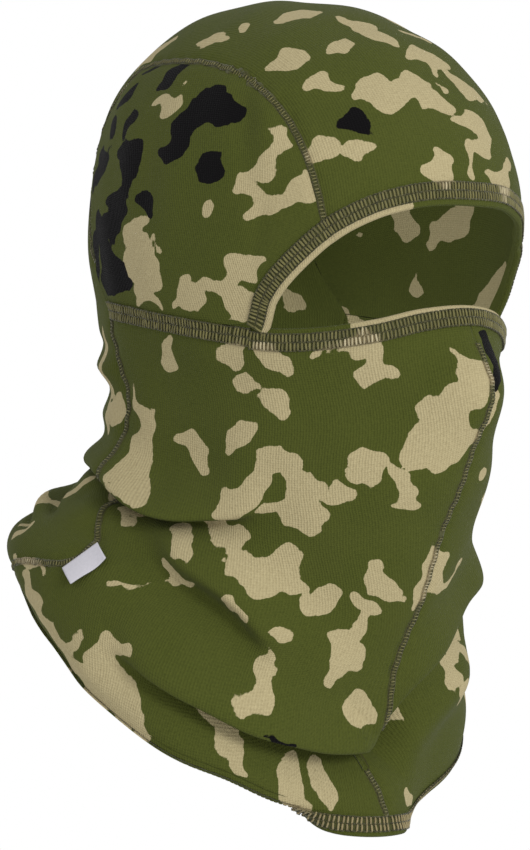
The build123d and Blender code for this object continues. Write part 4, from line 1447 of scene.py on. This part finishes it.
for name, nodes in REPLACED.items():
    settle(pieces[name], "front" if name.startswith("front") else "hood", "camouflage_jersey", *nodes)
settle(brow_piece, "hood", "camouflage_jersey", "brow_hem")
settle(mask_piece, "front", "camouflage_jersey", "mask_hem")
settle(hem_piece, "hood", "camouflage_jersey", "bottom_hem")
settle(label, "label", "woven_label", "care_label")
stitched = {"brow_hem_stitches": (brow_parts, "hood"), "mask_hem_stitches": (mask_parts, "front"),
            "bottom_hem_stitches": (hem_parts, "hood")}
for node, parts in seams.items():
    stitched[node] = (parts, "front" if node == "face_front_seam" else "hood")
for node, (parts, body) in stitched.items():
    bed, rungs, needles = parts
    settle(bed, body, "overlock_thread")
    settle(rungs, body, "overlock_thread", node)
    settle(needles, body, "overlock_thread")


def flat_size(piece):
    """The widest run and the longest run of a panel on the head, from its texture coordinates."""
    layer = piece.data.uv_layers["cloth"].data
    uv = np.zeros(len(layer) * 2, np.float32)
    layer.foreach_get("uv", uv)
    width, length = np.ptp(uv.reshape(-1, 2), axis=0)
    return float(width), float(length)


def cloth_area(surface, rows=60, columns=60):
    t, s = np.meshgrid(np.linspace(0, 1, rows), np.linspace(0, 1, columns), indexing="ij")
    p = surface(s, t) * MM
    a = np.cross(p[1:, :-1] - p[:-1, :-1], p[:-1, 1:] - p[:-1, :-1])
    return float(np.linalg.norm(a, axis=-1).sum())


SURFACES = {"hood_centre": centre_surface, "hood_side_right": side_surface, "hood_side_left": side_surface,
            "front_right": front_surface, "front_left": front_surface}
for name, surface in SURFACES.items():
    size = flat_size(pieces[name])
    min(cloth_area(surface), size[0] * size[1])


# ---------------------------------------------------------------- stage, light and camera, in metres

FLOOR_Z = -0.30
FLOOR_RADIUS = 0.55
FLOOR_DARK = [.86, .86, .86, 1]
FLOOR_LIGHT = [.9, .9, .9, 1]
KEY_PLACE = (-.35, -2.2, .45)
KEY_TARGET = (0, 0, -.04)
KEY_SIZE = 0.7
KEY_POWER = 30
INSIDE_PLACE = (0, 0, .03)
INSIDE_SIZE = 0.04
INSIDE_POWER = 0.24
CAMERA_AZIMUTH = math.radians(-43)
CAMERA_DISTANCE = 2.0
SENSOR = 36
PICTURE_HEIGHT = 0.3542
PICTURE_MIDDLE = np.array([0, 0, -.042])
PICTURE_SHIFT = 0.016


def look_rotation(way):
    return Vector(way).to_track_quat("-Z", "Y").to_euler()


def in_scene(name, data, place=(0, 0, 0)):
    piece = bpy.data.objects.new(name, data)
    bpy.context.scene.collection.objects.link(piece)
    piece.location = place
    return piece


floor = bpy.data.meshes.new("floor")
turns = np.linspace(0, 2 * math.pi, 64, endpoint=False)
floor.from_pydata([(FLOOR_RADIUS * math.cos(a), FLOOR_RADIUS * math.sin(a), FLOOR_Z) for a in turns], [],
                  [list(range(len(turns)))])
floor_piece = in_scene("floor", floor)
floor_nodes = Nodes("pale_floor")
grain = floor_nodes.noise(floor_nodes.place(), 40.0)
floor.materials.append(floor_nodes.finish(floor_nodes.mix(grain, FLOOR_DARK, FLOOR_LIGHT), .8, grain, .05))

world = bpy.data.worlds.new("studio")
world.use_nodes = True
world.node_tree.nodes["Background"].inputs[0].default_value = (1, 1, 1, 1)
world.node_tree.nodes["Background"].inputs[1].default_value = 1.0
bpy.context.scene.world = world
bpy.context.scene.view_settings.view_transform = "Standard"

key = bpy.data.lights.new("key", "AREA")
key.shape = "DISK"
key.size = KEY_SIZE
key.energy = KEY_POWER
in_scene("key", key, KEY_PLACE).rotation_euler = look_rotation(np.array(KEY_TARGET) - np.array(KEY_PLACE))
inside_lamp = bpy.data.lights.new("inside", "POINT")
inside_lamp.energy = INSIDE_POWER
inside_lamp.shadow_soft_size = INSIDE_SIZE
in_scene("inside", inside_lamp, INSIDE_PLACE)

picture_right = np.array([math.cos(CAMERA_AZIMUTH), math.sin(CAMERA_AZIMUTH), 0])
toward_camera = np.array([math.sin(CAMERA_AZIMUTH), -math.cos(CAMERA_AZIMUTH), 0])
aim = PICTURE_MIDDLE - PICTURE_SHIFT * picture_right
camera_data = bpy.data.cameras.new("camera")
camera_data.sensor_fit = "VERTICAL"
camera_data.sensor_height = SENSOR
camera_data.lens = SENSOR * CAMERA_DISTANCE / PICTURE_HEIGHT
camera = in_scene("camera", camera_data, aim + toward_camera * CAMERA_DISTANCE)
camera.rotation_euler = look_rotation(-toward_camera)
bpy.context.scene.camera = camera
